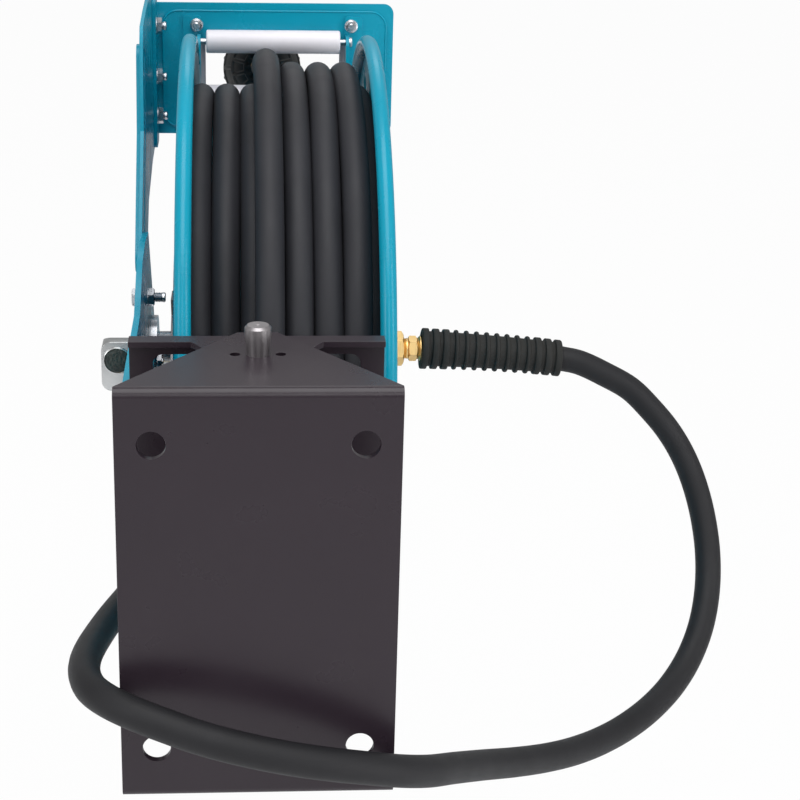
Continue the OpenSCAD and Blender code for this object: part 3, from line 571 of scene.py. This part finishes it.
# %% Rounded copies of the construction parts
def rounded_copy(name, width, cutter=None):
    """A copy of a node, cut if need be, with rounded edges, which stands for the node."""
    piece = hold(placed(name + "_piece", nodes[name].data.copy()))
    bpy.ops.object.mode_set(mode="EDIT")
    bpy.ops.mesh.select_all(action="SELECT")
    bpy.ops.mesh.remove_doubles(threshold=2e-6)
    bpy.ops.mesh.dissolve_limited(angle_limit=radians(1.5), delimit={"NORMAL"})
    bpy.ops.object.mode_set(mode="OBJECT")
    if cutter:
        cut_with(piece, cutter, "DIFFERENCE")
    round_edges(piece, width)
    smooth(piece, flat_faces=True)
    return fit(piece, finishes[slot_of[name]], body_of[name], name)


edge_widths = {
    "wall_bracket": 0.0007, "pedestal": 0.0006, "guide_arm": 0.0005, "guide_plate": 0.0005,
    "ear_left": 0.0005, "ear_right": 0.0005, "yoke_top": 0.0004, "yoke_bottom": 0.0004,
    "pivot_pin": 0.0004, "top_roller": 0.0004, "bottom_roller": 0.0004, "left_roller": 0.0004,
    "right_roller": 0.0004, "roller_axles": 0.0004, "shaft": 0.0004, "pawl": 0.0004,
    "ratchet_wheel": 0.0003, "pawl_pin": 0.0003, "bearings": 0.0003, "shaft_ring": 0.0002,
}
for name, width in edge_widths.items():
    rounded_copy(name, width)
print("rounded copies:", len(edge_widths))

# %% [markdown]
# ## Turned pieces
# A bolt's shank, a nut's chamfer and a rubber boot are all turned shapes. Half
# of the outline is drawn point by point, as a turner would draw it, and is
# then spun round the Z axis.


# %% Spinning a half outline
def drawn(name, points):
    """A line drawn from point to point, selected and still open for editing."""
    release()
    bpy.ops.mesh.primitive_plane_add(size=0.001)
    piece = bpy.context.object
    piece.name = name
    bpy.ops.object.mode_set(mode="EDIT")
    bpy.ops.mesh.merge(type="CENTER")
    bpy.ops.transform.translate(value=points[0])
    for here, there in zip(points, points[1:]):
        move = [b - a for a, b in zip(here, there)]
        bpy.ops.mesh.extrude_region_move(TRANSFORM_OT_translate={"value": move})
    bpy.ops.mesh.select_all(action="SELECT")
    return piece


def spun(name, outline, steps=40):
    """A solid from a half outline of (radius, height) points that starts and ends on the axis."""
    piece = drawn(name, [(r, 0, z) for r, z in outline])
    bpy.ops.mesh.spin(steps=steps, angle=2 * pi, center=(0, 0, 0), axis=(0, 0, 1))
    bpy.ops.object.mode_set(mode="OBJECT")
    return outward(piece)


def cut_with(piece, tool, operation):
    """Joins, cuts or crosses two solids and deletes the tool."""
    hold(piece)
    change = piece.modifiers.new("cut", "BOOLEAN")
    change.operation = operation
    change.solver = "EXACT"
    change.object = tool
    bpy.ops.object.modifier_apply(modifier=change.name)
    bpy.data.objects.remove(tool)
    return piece


# %% [markdown]
# ## Bolts and nuts
# The corners of a bolt's head are turned off at thirty degrees, a slope of
# 0.577, which leaves a curved edge on each flat. A hexagonal prism crossed
# with a turned barrel gives just that edge. The shank is spun with its thread
# as rings, because at this size a ring looks like a screw's turn.


# %% Hexagon with turned corners
face_share = 0.95
corner_slope = 0.577


def hexagon(name, corner_r, low, high, ends=(True, True)):
    """A prism with its corners turned off at its low end, its high end or both."""
    release()
    bpy.ops.mesh.primitive_cylinder_add(
        vertices=6, radius=corner_r, depth=high - low, location=(0, 0, (low + high) / 2),
        rotation=(0, 0, pi / 6),
    )
    bar = keep_place(bpy.context.object)
    bar.name = name
    face_r = face_share * corner_r * cos(pi / 6)
    fall = (corner_r - face_r) * corner_slope
    more = corner_r * 1.02
    outline = [(0, low)]
    outline += [(face_r, low), (corner_r, low + fall)] if ends[0] else [(more, low)]
    outline += [(corner_r, high - fall), (face_r, high)] if ends[1] else [(more, high)]
    outline += [(0, high)]
    barrel = spun(name + "_barrel", outline, 48)
    return cut_with(bar, barrel, "INTERSECT")


def joined(name, pieces):
    """One object from several, which is the first of them."""
    hold(pieces[0])
    for piece in pieces:
        piece.select_set(True)
    bpy.ops.object.join()
    pieces[0].name = name
    return pieces[0]


# %% A bolt with its nut, in parts of its width
corner_share, head_share, pitch_share = 0.94, 0.65, 0.155


def threaded(radius, start, end, pitch):
    """Outline points of a thread from start to end, with a chamfered tip."""
    deep = 0.6 * pitch
    points = [(radius, start)]
    z = start + pitch / 2
    while z + pitch < end - deep:
        points += [(radius - deep, z), (radius, z + pitch / 2)]
        z += pitch
    return [*points, (radius, end - deep), (radius - deep, end), (0, end)]


def bolt_along_z(width, length, grip, flanged=False):
    """A bolt from under its head at z = 0 towards +Z, with its nut at the grip."""
    corner_r = corner_share * width
    head_h = head_share * width
    seat_r = 0.98 * corner_r * cos(pi / 6)
    seat_h = 0.08 * head_h
    pitch = pitch_share * width
    head = hexagon("head", corner_r, -head_h, -seat_h, (True, False))
    seat = spun("seat", [(0, -seat_h), (seat_r, -seat_h), (seat_r, 0), (0, 0)])
    thread = threaded(width / 2, grip + seat_h, length, pitch)
    shank = spun("shank", [(0, -seat_h), (width / 2, -seat_h), *thread])
    nut = hexagon("nut", corner_r, grip + seat_h, grip + head_h, (False, True))
    nut_seat_r = 1.06 * corner_r if flanged else seat_r
    lift = 3 * seat_h if flanged else seat_h
    nut_seat = spun("nut_seat", [
        (0, grip), (nut_seat_r, grip), (nut_seat_r, grip + seat_h), (seat_r * 0.97, grip + lift),
        (0, grip + lift),
    ])
    return joined("bolt", [head, seat, shank, nut, nut_seat])


def loose_boxes(name):
    """The lowest and the highest corner of each loose solid of a construction part."""
    hold(placed("copy", nodes[name].data.copy()))
    bpy.ops.object.mode_set(mode="EDIT")
    bpy.ops.mesh.select_all(action="SELECT")
    bpy.ops.mesh.remove_doubles(threshold=2e-6)
    bpy.ops.mesh.separate(type="LOOSE")
    bpy.ops.object.mode_set(mode="OBJECT")
    boxes = []
    for solid in list(bpy.context.selected_objects):
        corners = [v.co for v in solid.data.vertices]
        low = Vector([min(c[k] for c in corners) for k in range(3)])
        high = Vector([max(c[k] for c in corners) for k in range(3)])
        boxes.append((low, high))
        bpy.data.objects.remove(solid)
    return boxes


ways = {
    "+X": Matrix.Rotation(pi / 2, 4, "Y"),
    "+Y": Matrix.Rotation(-pi / 2, 4, "X"),
    "-Y": Matrix.Rotation(pi / 2, 4, "X"),
}


def bolt_set(name, width, grip, way, flanged=False):
    """Bolts in the places of a construction part's solids, as one piece."""
    k = "XYZ".index(way[1])
    sign = 1 if way[0] == "+" else -1
    head_h = head_share * width
    boxes = loose_boxes(name)
    length = boxes[0][1][k] - boxes[0][0][k] - head_h
    model = bolt_along_z(width, length, grip, flanged)
    copies = []
    for low, high in boxes:
        place = (low + high) / 2
        place[k] = low[k] + head_h if sign > 0 else high[k] - head_h
        copy = placed(name + "_copy", model.data.copy())
        copy.matrix_world = Matrix.Translation(place) @ ways[way]
        copies.append(copy)
    bpy.data.objects.remove(model)
    piece = keep_place(joined(name + "_piece", copies))
    smooth(piece, 35, flat_faces=True)
    return fit(piece, finishes[slot_of[name]], body_of[name], name)


# %% All bolts of the reel: width, grip, way they point and whether the nut has a flange
bolt_table = (
    ("pedestal_bolts", 0.008, 0.0085, "+Y", False),
    ("arm_bolts", 0.008, 0.0075, "+X", False),
    ("guide_bolts", 0.008, 0.006, "+X", True),
    ("guide_nuts", 0.006, 0.008, "-Y", True),
    ("shaft_bolts", 0.006, 0.0095, "+X", False),
    ("tie_bolts", 0.008, 0.1524, "+X", False),
)
for row in bolt_table:
    bolts = bolt_set(*row)
    print(bolts.name, "triangles:", sum(len(f.vertices) - 2 for f in bolts.data.polygons))

# %% [markdown]
# ## Prisms
# A flat outline drawn point by point and drawn out makes the rest of the
# sheet and cast shapes. The bracket's window is cut a little higher here than
# in the construction model, because the picture shows its edge there.


# %% Prism from an outline
def rounded_corners(corners, radii, steps=6):
    """An outline with each corner rounded by its own radius."""
    points = []
    for i, (corner, radius) in enumerate(zip(corners, radii)):
        here = Vector(corner)
        before = (Vector(corners[i - 1]) - here).normalized()
        after = (Vector(corners[(i + 1) % len(corners)]) - here).normalized()
        half = acos(max(-1, min(1, before.dot(after)))) / 2
        middle = here + (before + after).normalized() * radius / sin(half)
        first = here + before * radius / tan(half) - middle
        last = here + after * radius / tan(half) - middle
        for k in range(steps + 1):
            points.append(middle + (first.lerp(last, k / steps)).normalized() * radius)
    return [tuple(p) for p in points]


def prism(name, outline, depth):
    """An XY outline drawn out along +Z."""
    piece = drawn(name, [(x, y, 0) for x, y in [*outline, outline[0]]])
    bpy.ops.mesh.remove_doubles(threshold=1e-6)
    bpy.ops.mesh.edge_face_add()
    bpy.ops.mesh.extrude_region_move(TRANSFORM_OT_translate={"value": (0, 0, depth)})
    bpy.ops.object.mode_set(mode="OBJECT")
    return outward(piece)


def stand_up(piece, y):
    """Turns an outline's (x, y) into the model's (x, z), with its depth along +Y from y."""
    swap = Matrix(((1, 0, 0, 0), (0, 0, 1, 0), (0, 1, 0, 0), (0, 0, 0, 1)))
    return outward(keep_place(piece, Matrix.Translation((0, y, 0)) @ swap))


# %% Window of the swivelling bracket
window_half = 0.0685
window_foot = 0.109
window_top = 0.1235
window_corner = 0.007
plate_front, plate_depth = 0.1065, 0.0125

window_cut = prism(
    "window_cut",
    rounded_corners(
        [(-window_half, window_foot), (window_half, window_foot), (window_half, window_top),
         (-window_half, window_top)],
        [0.0001, 0.0001, window_corner, window_corner],
    ),
    plate_depth,
)
rounded_copy("reel_bracket", 0.0006, cutter=stand_up(window_cut, plate_front))
print("window top, metres:", window_top)

# %% [markdown]
# ## Swivel block and its plug
# The block is a nickel casting. Its front is a tall plate with soft corners,
# and behind that its top falls away. A rough filler closes the spare port.

# %% Swivel block
block_left, block_right = -0.125, -0.099
block_low, block_high = -0.0075, 0.035
block_front, block_back = 0.393, 0.445
port_x, port_z = (block_left + block_right) / 2, axle.z

block = prism(
    "swivel_block_piece",
    rounded_corners(
        [(block_left, block_low), (block_right, block_low), (block_right, block_high),
         (block_left, block_high)],
        [0.008, 0.003, 0.003, 0.008],
    ),
    block_back - block_front,
)
stand_up(block, block_front)
side_view = rounded_corners(
    [(block_front - 0.01, block_low - 0.01), (block_back + 0.01, block_low - 0.01),
     (block_back + 0.01, 0.012), (block_front + 0.011, block_high + 0.0005),
     (block_front - 0.01, block_high + 0.0005)],
    [0.001, 0.001, 0.001, 0.004, 0.001],
)
fall = prism("block_fall", side_view, 0.06)
side_on = Matrix(((0, 0, 1, 0), (1, 0, 0, 0), (0, 1, 0, 0), (0, 0, 0, 1)))
outward(keep_place(fall, Matrix.Translation((block_left - 0.01, 0, 0)) @ side_on))
cut_with(block, fall, "INTERSECT")
round_edges(block, 0.0028, 4, 35)
port_rim = spun("port_rim", [
    (0, -0.006), (0.0112, -0.006), (0.0118, -0.0003), (0.0114, 0.0012), (0.0106, 0.0016),
    (0.0102, 0.0007), (0, 0.0002),
], 48)
rim_place = Matrix.Translation((port_x, block_front, port_z)) @ Matrix.Rotation(pi / 2, 4, "X")
boss = spun("boss", [
    (0, -0.0145), (0.0044, -0.0145), (0.005, -0.0139), (0.005, -0.006), (0, -0.006),
])
boss.location = (port_x, block_front + 0.012, 0)
block = joined("swivel_block_piece", [block, keep_place(port_rim, rim_place), keep_place(boss)])
smooth(block, 40)
fit(block, nickel, body_of["swivel_block"], "swivel_block")

# %% Filler in the port
filler_r = 0.0103
filler_front, filler_back = 0.002, 0.006
lump_height = 0.0004

release()
bpy.ops.mesh.primitive_ico_sphere_add(subdivisions=6, radius=filler_r)
filler = bpy.context.object
filler.name = "port_plug_piece"
for vertex in filler.data.vertices:
    x, y, z = vertex.co
    lump = 1.3 * noise.noise(vertex.co * 330) + 0.8 * noise.noise(vertex.co * 850)
    swell = max(0.0, 1 - (x * x + z * z) / filler_r**2)
    rough = lump_height * lump * min(1, 3 * swell)
    vertex.co.y = rough - sqrt(swell) * filler_front if y < 0 else filler_back * swell
filler.location = (port_x, block_front - 0.0007, port_z)
keep_place(filler)
smooth(filler, 60)
fit(filler, plug_filler, body_of["port_plug"], "port_plug")

# %% [markdown]
# ## Brass fittings
# The adapter and the nut have turned corners and a short thread between them.
# The two hose ends have a crimped ferrule, a hexagon and a pipe thread.


# %% Adapter and nut on the axle
def brass_piece(name, parts, place):
    """Solids made along Z become one piece on the axle or on a hose's end."""
    piece = keep_place(joined(name, parts), place)
    smooth(piece, 30, flat_faces=True)
    return piece


adapter_x = 0.118
nut_beyond = 0.012
hexagon_turn = -18

adapter_place = (
    Matrix.Translation((adapter_x, axle.y, axle.z))
    @ Matrix.Rotation(pi / 2, 4, "Y")
    @ Matrix.Rotation(radians(hexagon_turn), 4, "Z")
)
nut_place = Matrix.Translation((nut_beyond, 0, 0)) @ adapter_place
adapter = brass_piece(
    "inlet_adapter_piece",
    [
        hexagon("adapter_hexagon", 0.0147, 0, 0.008),
        spun("adapter_neck", [(0, 0.0078), *threaded(0.0087, 0.0078, 0.0122, 0.0012)], 48),
        spun("adapter_spigot", [
            (0, -0.016), (0.0066, -0.016), (0.0069, -0.0155), (0.0069, 0.0002), (0, 0.0002),
        ]),
    ],
    adapter_place,
)
fit(adapter, brass, body_of["inlet_adapter"], "inlet_adapter")
nut = brass_piece(
    "hose_nut_piece",
    [
        hexagon("nut_hexagon", 0.0107, 0, 0.0075),
        spun("nut_collar", [
            (0, 0.0073), (0.0092, 0.0073), (0.0088, 0.0082), (0.0096, 0.0089), (0.0105, 0.0098),
            (0.0105, 0.0105), (0, 0.0105),
        ], 48),
    ],
    nut_place,
)
fit(nut, brass, body_of["hose_nut"], "hose_nut")


# %% Fittings on the two hose ends
def end_fitting(node, ferrule, flats, thread, start, heading):
    """A crimped ferrule, a hexagon and a pipe thread from a point along a heading."""
    grooves = []
    for i in range(4):
        z = ferrule * (0.24 + 0.15 * i)
        grooves += [
            (0.012, z - 0.0011), (0.0112, z - 0.0006), (0.0112, z + 0.0006), (0.012, z + 0.0011),
        ]
    shell = [
        (0, 0.0001), (0.0113, 0.0001), (0.012, 0.0009), *grooves, (0.012, ferrule - 0.0008),
        (0.0113, ferrule), (0, ferrule),
    ]
    foot = ferrule + flats - 0.0004
    tip = ferrule + flats + thread
    place = Matrix.Translation(start) @ heading.to_track_quat("Z", "Y").to_matrix().to_4x4()
    piece = brass_piece(
        node + "_piece",
        [
            spun("shell", shell, 48),
            hexagon("flats", 0.0127, ferrule, ferrule + flats),
            spun("pipe", [(0, foot), *threaded(0.00825, foot, tip, 0.0018)], 40),
        ],
        place,
    )
    return fit(piece, brass, body_of[node], node)


# %% [markdown]
# ## Hose
# A hose is a round tube on a smooth line. The tube is built ring by ring
# along points, and its UV map runs once round and in metres along, so that
# the wrapped print follows it through every bend.


# %% Tube along points
hose_radius = 0.01055


def smooth_route(route, steps):
    """Points of a Catmull-Rom curve through the route."""
    ends = [route[0] * 2 - route[1], *route, route[-1] * 2 - route[-2]]
    points = []
    for a, b, c, d in zip(ends, ends[1:], ends[2:], ends[3:]):
        for i in range(steps):
            t = i / steps
            points.append(
                0.5 * (2 * b + (c - a) * t + (2 * a - 5 * b + 4 * c - d) * t**2
                       + (3 * b - a - 3 * c + d) * t**3)
            )
    return [*points, route[-1]]


def hose_tube(name, points, radius, sides=28, closed=False):
    """A tube mesh along points, with flat ends unless it is closed."""
    shape = bmesh.new()
    uv = shape.loops.layers.uv.new("along")
    count = len(points)
    side_way = Vector((0, 0, 1)).cross(points[1] - points[0]).normalized()
    rings = []
    run = [0.0]
    turn = 2 * pi / sides
    for i, point in enumerate(points):
        before = points[i - 1] if (closed or i) else point
        after = points[(i + 1) % count] if (closed or i + 1 < count) else point
        heading = (after - before).normalized()
        side_way = (side_way - heading * side_way.dot(heading)).normalized()
        up_way = heading.cross(side_way)
        rings.append([
            shape.verts.new(point + radius * (cos(turn * s) * side_way + sin(turn * s) * up_way))
            for s in range(sides)
        ])
        run.append(run[-1] + (points[(i + 1) % count] - point).length)
    for i in range(count if closed else count - 1):
        first, second = rings[i], rings[(i + 1) % count]
        for s in range(sides):
            t = (s + 1) % sides
            face = shape.faces.new((first[s], first[t], second[t], second[s]))
            turns = (s / sides, (s + 1) / sides, (s + 1) / sides, s / sides)
            lengths = (run[i], run[i], run[i + 1], run[i + 1])
            for loop, around, along_it in zip(face.loops, turns, lengths):
                loop[uv].uv = (around, along_it)
    if not closed:
        shape.faces.new(rings[0][::-1])
        shape.faces.new(rings[-1])
    mesh = bpy.data.meshes.new(name)
    shape.to_mesh(mesh)
    shape.free()
    return smooth(placed(name, mesh), 50)


def length_of(points):
    """The length of a line through points."""
    return sum((b - a).length for a, b in zip(points, points[1:]))


# %% [markdown]
# ### The lead-in hose
# It leaves the bend restrictor to the right, hangs in one wide loop, passes
# in front of the wall plate and comes back round its left side to end in its
# brass fitting.

# %% Lead-in hose
lead_route = [
    Vector(p) / 1000
    for p in (
        (259.5, 421, 10.3), (276.9, 419, 6.9), (298.2, 416, -2.5), (319.8, 412, -14.1),
        (337.1, 405.2, -29.9), (352.2, 397.4, -47), (364.3, 388, -66.3), (373.3, 376.6, -88.3),
        (379.1, 362.8, -112.7), (381, 346.2, -138), (377.8, 326.9, -162.2),
        (369.1, 305.4, -183.6), (354.9, 282.5, -200.6), (336.1, 258.5, -212.3),
        (313.8, 233.6, -218.3), (289.2, 207.9, -219.2), (263.7, 181.9, -215.6),
        (237.6, 155.5, -207.9), (210.7, 127.9, -196.1), (183.2, 97.9, -180.3),
        (156.2, 65.5, -161.6), (131.5, 32.5, -142.7), (111, 4.5, -127), (90.5, -15, -114.2),
        (68, -26.5, -104.4), (44.3, -33.8, -96.6), (18.5, -37.7, -89.5), (-8.6, -38.7, -82.2),
        (-35.5, -36.5, -75), (-59, -30.5, -68.9), (-78, -22.5, -65), (-94, -10.5, -63.4),
        (-106, 7.5, -64.6), (-112.5, 34, -69), (-114.5, 64, -75.5), (-113.5, 94, -82.5),
        (-110.5, 126, -89.6), (-106.4, 157.2, -95.8), (-101.5, 187.9, -101.8),
        (-96.5, 218, -107.9), (-92, 248, -114), (-89, 278, -121), (-87, 308, -127),
        (-86, 336, -132),
    )
]
lead_points = smooth_route(lead_route, 6)
lead_piece = hose_tube("lead_hose_piece", lead_points, hose_radius)
lead_way = Vector((0.03, 0.985, -0.17)).normalized()
end_fitting("lead_end_fitting", 0.020, 0.011, 0.014, lead_route[-1], lead_way)
# The lead-in hose wears the darker copy of the hose rubber, which is painted shade.
dress(lead_piece, lead_rubber_painted_shade)
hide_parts("lead_hose")

# %% [markdown]
# ### The wound hose
# Seven turns lie side by side on the drum and three more on top of them. A
# wound hose runs in a helix, so each turn is leaned a little and wanders by
# a fraction of a millimetre. The turns are a hundredth thicker than the free
# hose, so that they still touch where they wander apart.

# %% Turns on the spool
hose_width = 2 * hose_radius
first_turn_x = -0.0426
first_radius = 0.2095
layer_rise = 0.853
second_radius = first_radius + layer_rise * hose_width
turn_lean = 0.0002
turn_swell = 1.01
phase_step = 1.7


def turn_points(x, radius, phase, count=180):
    """One closed turn round the axle, with its lean and its wander."""
    points = []
    for i in range(count):
        a = 2 * pi * i / count
        aside = turn_lean * cos(a + phase)
        aside += 0.0003 * sin(3 * a + phase) + 0.0002 * sin(5 * a + 2 * phase)
        points.append(axle + Vector((x + aside, radius * sin(a), radius * cos(a))))
    return points


turns = [(first_turn_x + i * hose_width, first_radius) for i in range(7)]
turns += [(first_turn_x + (3.5 + i) * hose_width, second_radius) for i in range(3)]
turn_radius = hose_radius * turn_swell
for i, (x, radius) in enumerate(turns):
    route = turn_points(x, radius, phase_step * i)
    turn = hose_tube(f"hose_turn_{i + 1}", route, turn_radius, sides=24, closed=True)
    fit(turn, hose_rubber, "spool")
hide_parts("hose_coil")

# %% [markdown]
# ### The last turn
# The last turn comes up the wall side, over the top, and leaves straight
# through the roller guide to the stopper.

# %% Outlet hose
last_x = first_turn_x + 2.5 * hose_width
last_rise = 0.0075
last_lift = 0.0033
last_radius = second_radius + last_rise
last_centre = axle + Vector((last_x, 0, last_lift))
guide_point = Vector((last_x, 0.648, 0.216))
to_guide = guide_point - last_centre
run_length = sqrt(to_guide.length**2 - last_radius**2)
leave_angle = atan2(to_guide.y, to_guide.z) - atan2(run_length, last_radius)
beyond_guide = 0.152
arc_steps, tail_steps = 120, 40

outlet_points = []
for i in range(arc_steps + 1):
    a = leave_angle + (pi + leave_angle) * (i / arc_steps - 1)
    outlet_points.append(last_centre + last_radius * Vector((0, sin(a), cos(a))))
tail_way = Vector((0, cos(leave_angle), -sin(leave_angle)))
tail_length = run_length + beyond_guide
leave_point = outlet_points[arc_steps]
for i in range(1, tail_steps + 1):
    outlet_points.append(leave_point + tail_way * tail_length * i / tail_steps)
outlet_piece = hose_tube("outlet_hose_piece", outlet_points, hose_radius)
fit(outlet_piece, hose_rubber, "frame", "outlet_hose")
end_fitting("outlet_end_fitting", 0.018, 0.010, 0.013, outlet_points[-1], tail_way)
print("outlet hose, metres:", round(length_of(outlet_points), 3))

# %% [markdown]
# ## Hose stopper
# The stopper is a moulded ball of panels with raised seams between them. A
# fine ball is pressed in wherever a point lies clear of every seam, and a
# cylinder clears the way for the hose.

# %% Hose stopper
stopper_r = 0.0376
stopper_at = 0.0608
panel_rings, panel_sectors = 7, 12
seam_half, seam_edge, panel_deep = 0.0010, 0.0011, 0.0013


def seam_distance(place):
    """How far a point of the ball is from the nearest seam, along the surface."""
    height = acos(max(-1, min(1, place.z / place.length)))
    ring, sector = pi / panel_rings, 2 * pi / panel_sectors
    level = abs((height + ring / 2) % ring - ring / 2) * stopper_r
    shift = sector / 2 * (round(height / ring - 0.5) % 2)
    around = abs((atan2(place.y, place.x) + shift + sector / 2) % sector - sector / 2)
    return min(level, around * sin(height) * stopper_r)


release()
bpy.ops.mesh.primitive_uv_sphere_add(segments=168, ring_count=98, radius=stopper_r)
stopper = bpy.context.object
stopper.name = "stopper_piece"
for vertex in stopper.data.vertices:
    part = max(0, min(1, (seam_distance(vertex.co) - seam_half) / seam_edge))
    vertex.co *= 1 - panel_deep * part / stopper_r
way_r, way_end = hose_radius + 0.0003, 0.05
way_out = spun("way_out", [(0, -way_end), (way_r, -way_end), (way_r, way_end), (0, way_end)], 40)
cut_with(stopper, way_out, "DIFFERENCE")
stopper_place = Matrix.Translation(leave_point + tail_way * (run_length + stopper_at))
keep_place(stopper, stopper_place @ tail_way.to_track_quat("Z", "Y").to_matrix().to_4x4())
smooth(stopper, 24)
fit(stopper, black_plastic, body_of["stopper_halves"], "stopper_halves")
print("stopper faces:", len(stopper.data.polygons))

# %% [markdown]
# ## Bend restrictor
# The boot over the start of the hose is moulded rubber: three wide ribs at
# each end, eight slim ones between, all soft at the top. It is spun straight,
# and its points are then moved so that it bows a little with the hose.

# %% Bend restrictor
boot_start = Vector((0.1408, axle.y, axle.z))
boot_tilt = radians(4.43)
boot_length = 0.11905
boot_ribs = 14
wide_rib = 0.0056
slim_rib = 0.0032
top_first, top_fall = 0.0173, 0.0018
foot_first, foot_fall = 0.0149, 0.0016
boot_bow = 0.0012


def boot_outline():
    """The outside of the boot with its rounded ribs, and a bore just over the hose."""
    bore = hose_radius + 0.00005
    points = [(bore, 0)]
    pitch = (boot_length - wide_rib) / (boot_ribs - 1)
    for i in range(boot_ribs):
        wide = i < 3 or i > boot_ribs - 4
        width = wide_rib if wide else slim_rib
        middle = i * pitch + wide_rib / 2
        top = top_first - top_fall * i / (boot_ribs - 1)
        foot = foot_first - foot_fall * i / (boot_ribs - 1)
        corner = 0.0009 if wide else 0.0012
        left, right = middle - width / 2, middle + width / 2
        points += [
            (foot, max(0, left - 0.0005)), (foot + 0.0005, left), (top - corner, left + 0.0001),
            (top - 0.3 * corner, left + 0.3 * corner), (top, left + corner),
            (top, right - corner), (top - 0.3 * corner, right - 0.3 * corner),
            (top - corner, right - 0.0001), (foot + 0.0005, right),
            (foot, min(boot_length, right + 0.0005)),
        ]
    return [*points, (bore, boot_length)]


outline = boot_outline()
restrictor_piece = spun("bend_restrictor_piece", [*outline, outline[0]], 56)
for vertex in restrictor_piece.data.vertices:
    part = vertex.co.z / boot_length
    vertex.co.x -= boot_bow * 4 * part * (1 - part)
boot_place = Matrix.Translation(boot_start) @ Matrix.Rotation(pi / 2 + boot_tilt, 4, "Y")
keep_place(restrictor_piece, boot_place)
smooth(restrictor_piece, 40)
fit(restrictor_piece, black_rubber, body_of["bend_restrictor"], "bend_restrictor")
print("boot, ribs:", boot_ribs, "length:", boot_length)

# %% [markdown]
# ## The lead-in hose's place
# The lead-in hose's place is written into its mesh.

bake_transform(lead_piece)

# %% [markdown]
# ## Discs
# A disc is spun from its section: a raised middle, a flat web and a bead that
# was rolled over a wire. Eight grooves are pressed outwards round it. A
# groove's height falls off smoothly with the distance from its centre line.

# %% Section of a disc
disc_sheet = 0.002
disc_hole_r, disc_dish_r, disc_dish = 0.026, 0.110, 0.008
rim_r, bead_r = 0.260, 0.006
groove_half, groove_edge, groove_deep = 0.0085, 0.003, 0.003
groove_first, groove_last = 0.138, 0.226
groove_count = 8


def disc_outline():
    """The closed section, as radius and distance outwards from the hose side."""
    centre_r, centre_z = rim_r - bead_r, disc_sheet - bead_r + 0.002
    bead_start = pi - asin(-centre_z / bead_r)
    bead_end = 2 * pi + pi - asin((disc_sheet - centre_z) / bead_r)
    slope = [(0, 1.0), (0.15, 0.94), (0.35, 0.68), (0.65, 0.32), (0.85, 0.06), (1, 0.0)]
    step_r = [(disc_dish_r + 0.006 * part, disc_dish * high) for part, high in slope]
    web = [0.120 + 0.0034 * i for i in range(37)]
    inner = [(disc_hole_r, disc_dish), (0.07, disc_dish), *step_r, *[(r, 0) for r in web]]
    bead = [
        (centre_r + bead_r * cos(a), centre_z + bead_r * sin(a))
        for a in [bead_start + (bead_end - bead_start) * i / 22 for i in range(23)]
    ]
    outer = [(r, z + disc_sheet) for r, z in inner[::-1]]
    return [*inner, *bead, *outer, inner[0]]


def groove_height(x, y):
    """How far a point of the web is pressed outwards."""
    turn = 2 * pi / groove_count
    angle = (atan2(y, x) % turn) - turn / 2
    radius = sqrt(x * x + y * y)
    along_it, across = radius * cos(angle), radius * sin(angle)
    past = max(groove_first - along_it, along_it - groove_last, 0)
    away = sqrt(past * past + across * across)
    part = max(0, min(1, (groove_half + groove_edge - away) / groove_edge))
    return groove_deep * part * part * (3 - 2 * part)


# %% Both discs
def disc_piece(name, x, outwards):
    """A disc with its grooves, facing to the right (1) or to the left (-1)."""
    piece = spun(name + "_piece", disc_outline(), 384)
    for vertex in piece.data.vertices:
        vertex.co.z += groove_height(vertex.co.x, vertex.co.y)
    face_out = Matrix.Rotation(outwards * pi / 2, 4, "Y")
    keep_place(piece, Matrix.Translation((x, axle.y, axle.z)) @ face_out)
    smooth(piece, 35)
    return fit(piece, teal_paint, "spool", name)


disc_piece("disc_left", -0.0534, -1)
disc_piece("disc_right", 0.095, 1)
print("grooves in each disc:", groove_count)

# %% [markdown]
# ## Border line of the guide plate
# The edge of the pressed middle catches the light all along. It is a slim
# round moulding on the front of the plate.

# %% Border line
border_low, border_high = (-0.081, 0.160), (0.123, 0.267)
border_y = 0.6467
border_corner_r = 0.014
border_corners = [
    border_low, (border_high[0], border_low[1]), border_high, (border_low[0], border_high[1]),
]
border_outline = rounded_corners(border_corners, [border_corner_r] * 4, 10)
border_points = [Vector((x, border_y, z)) for x, z in border_outline]
border_line = hose_tube("border_line", border_points, 0.0009, sides=10, closed=True)
fit(border_line, teal_paint, "frame")
print("border line, metres:", round(length_of(border_points), 3))
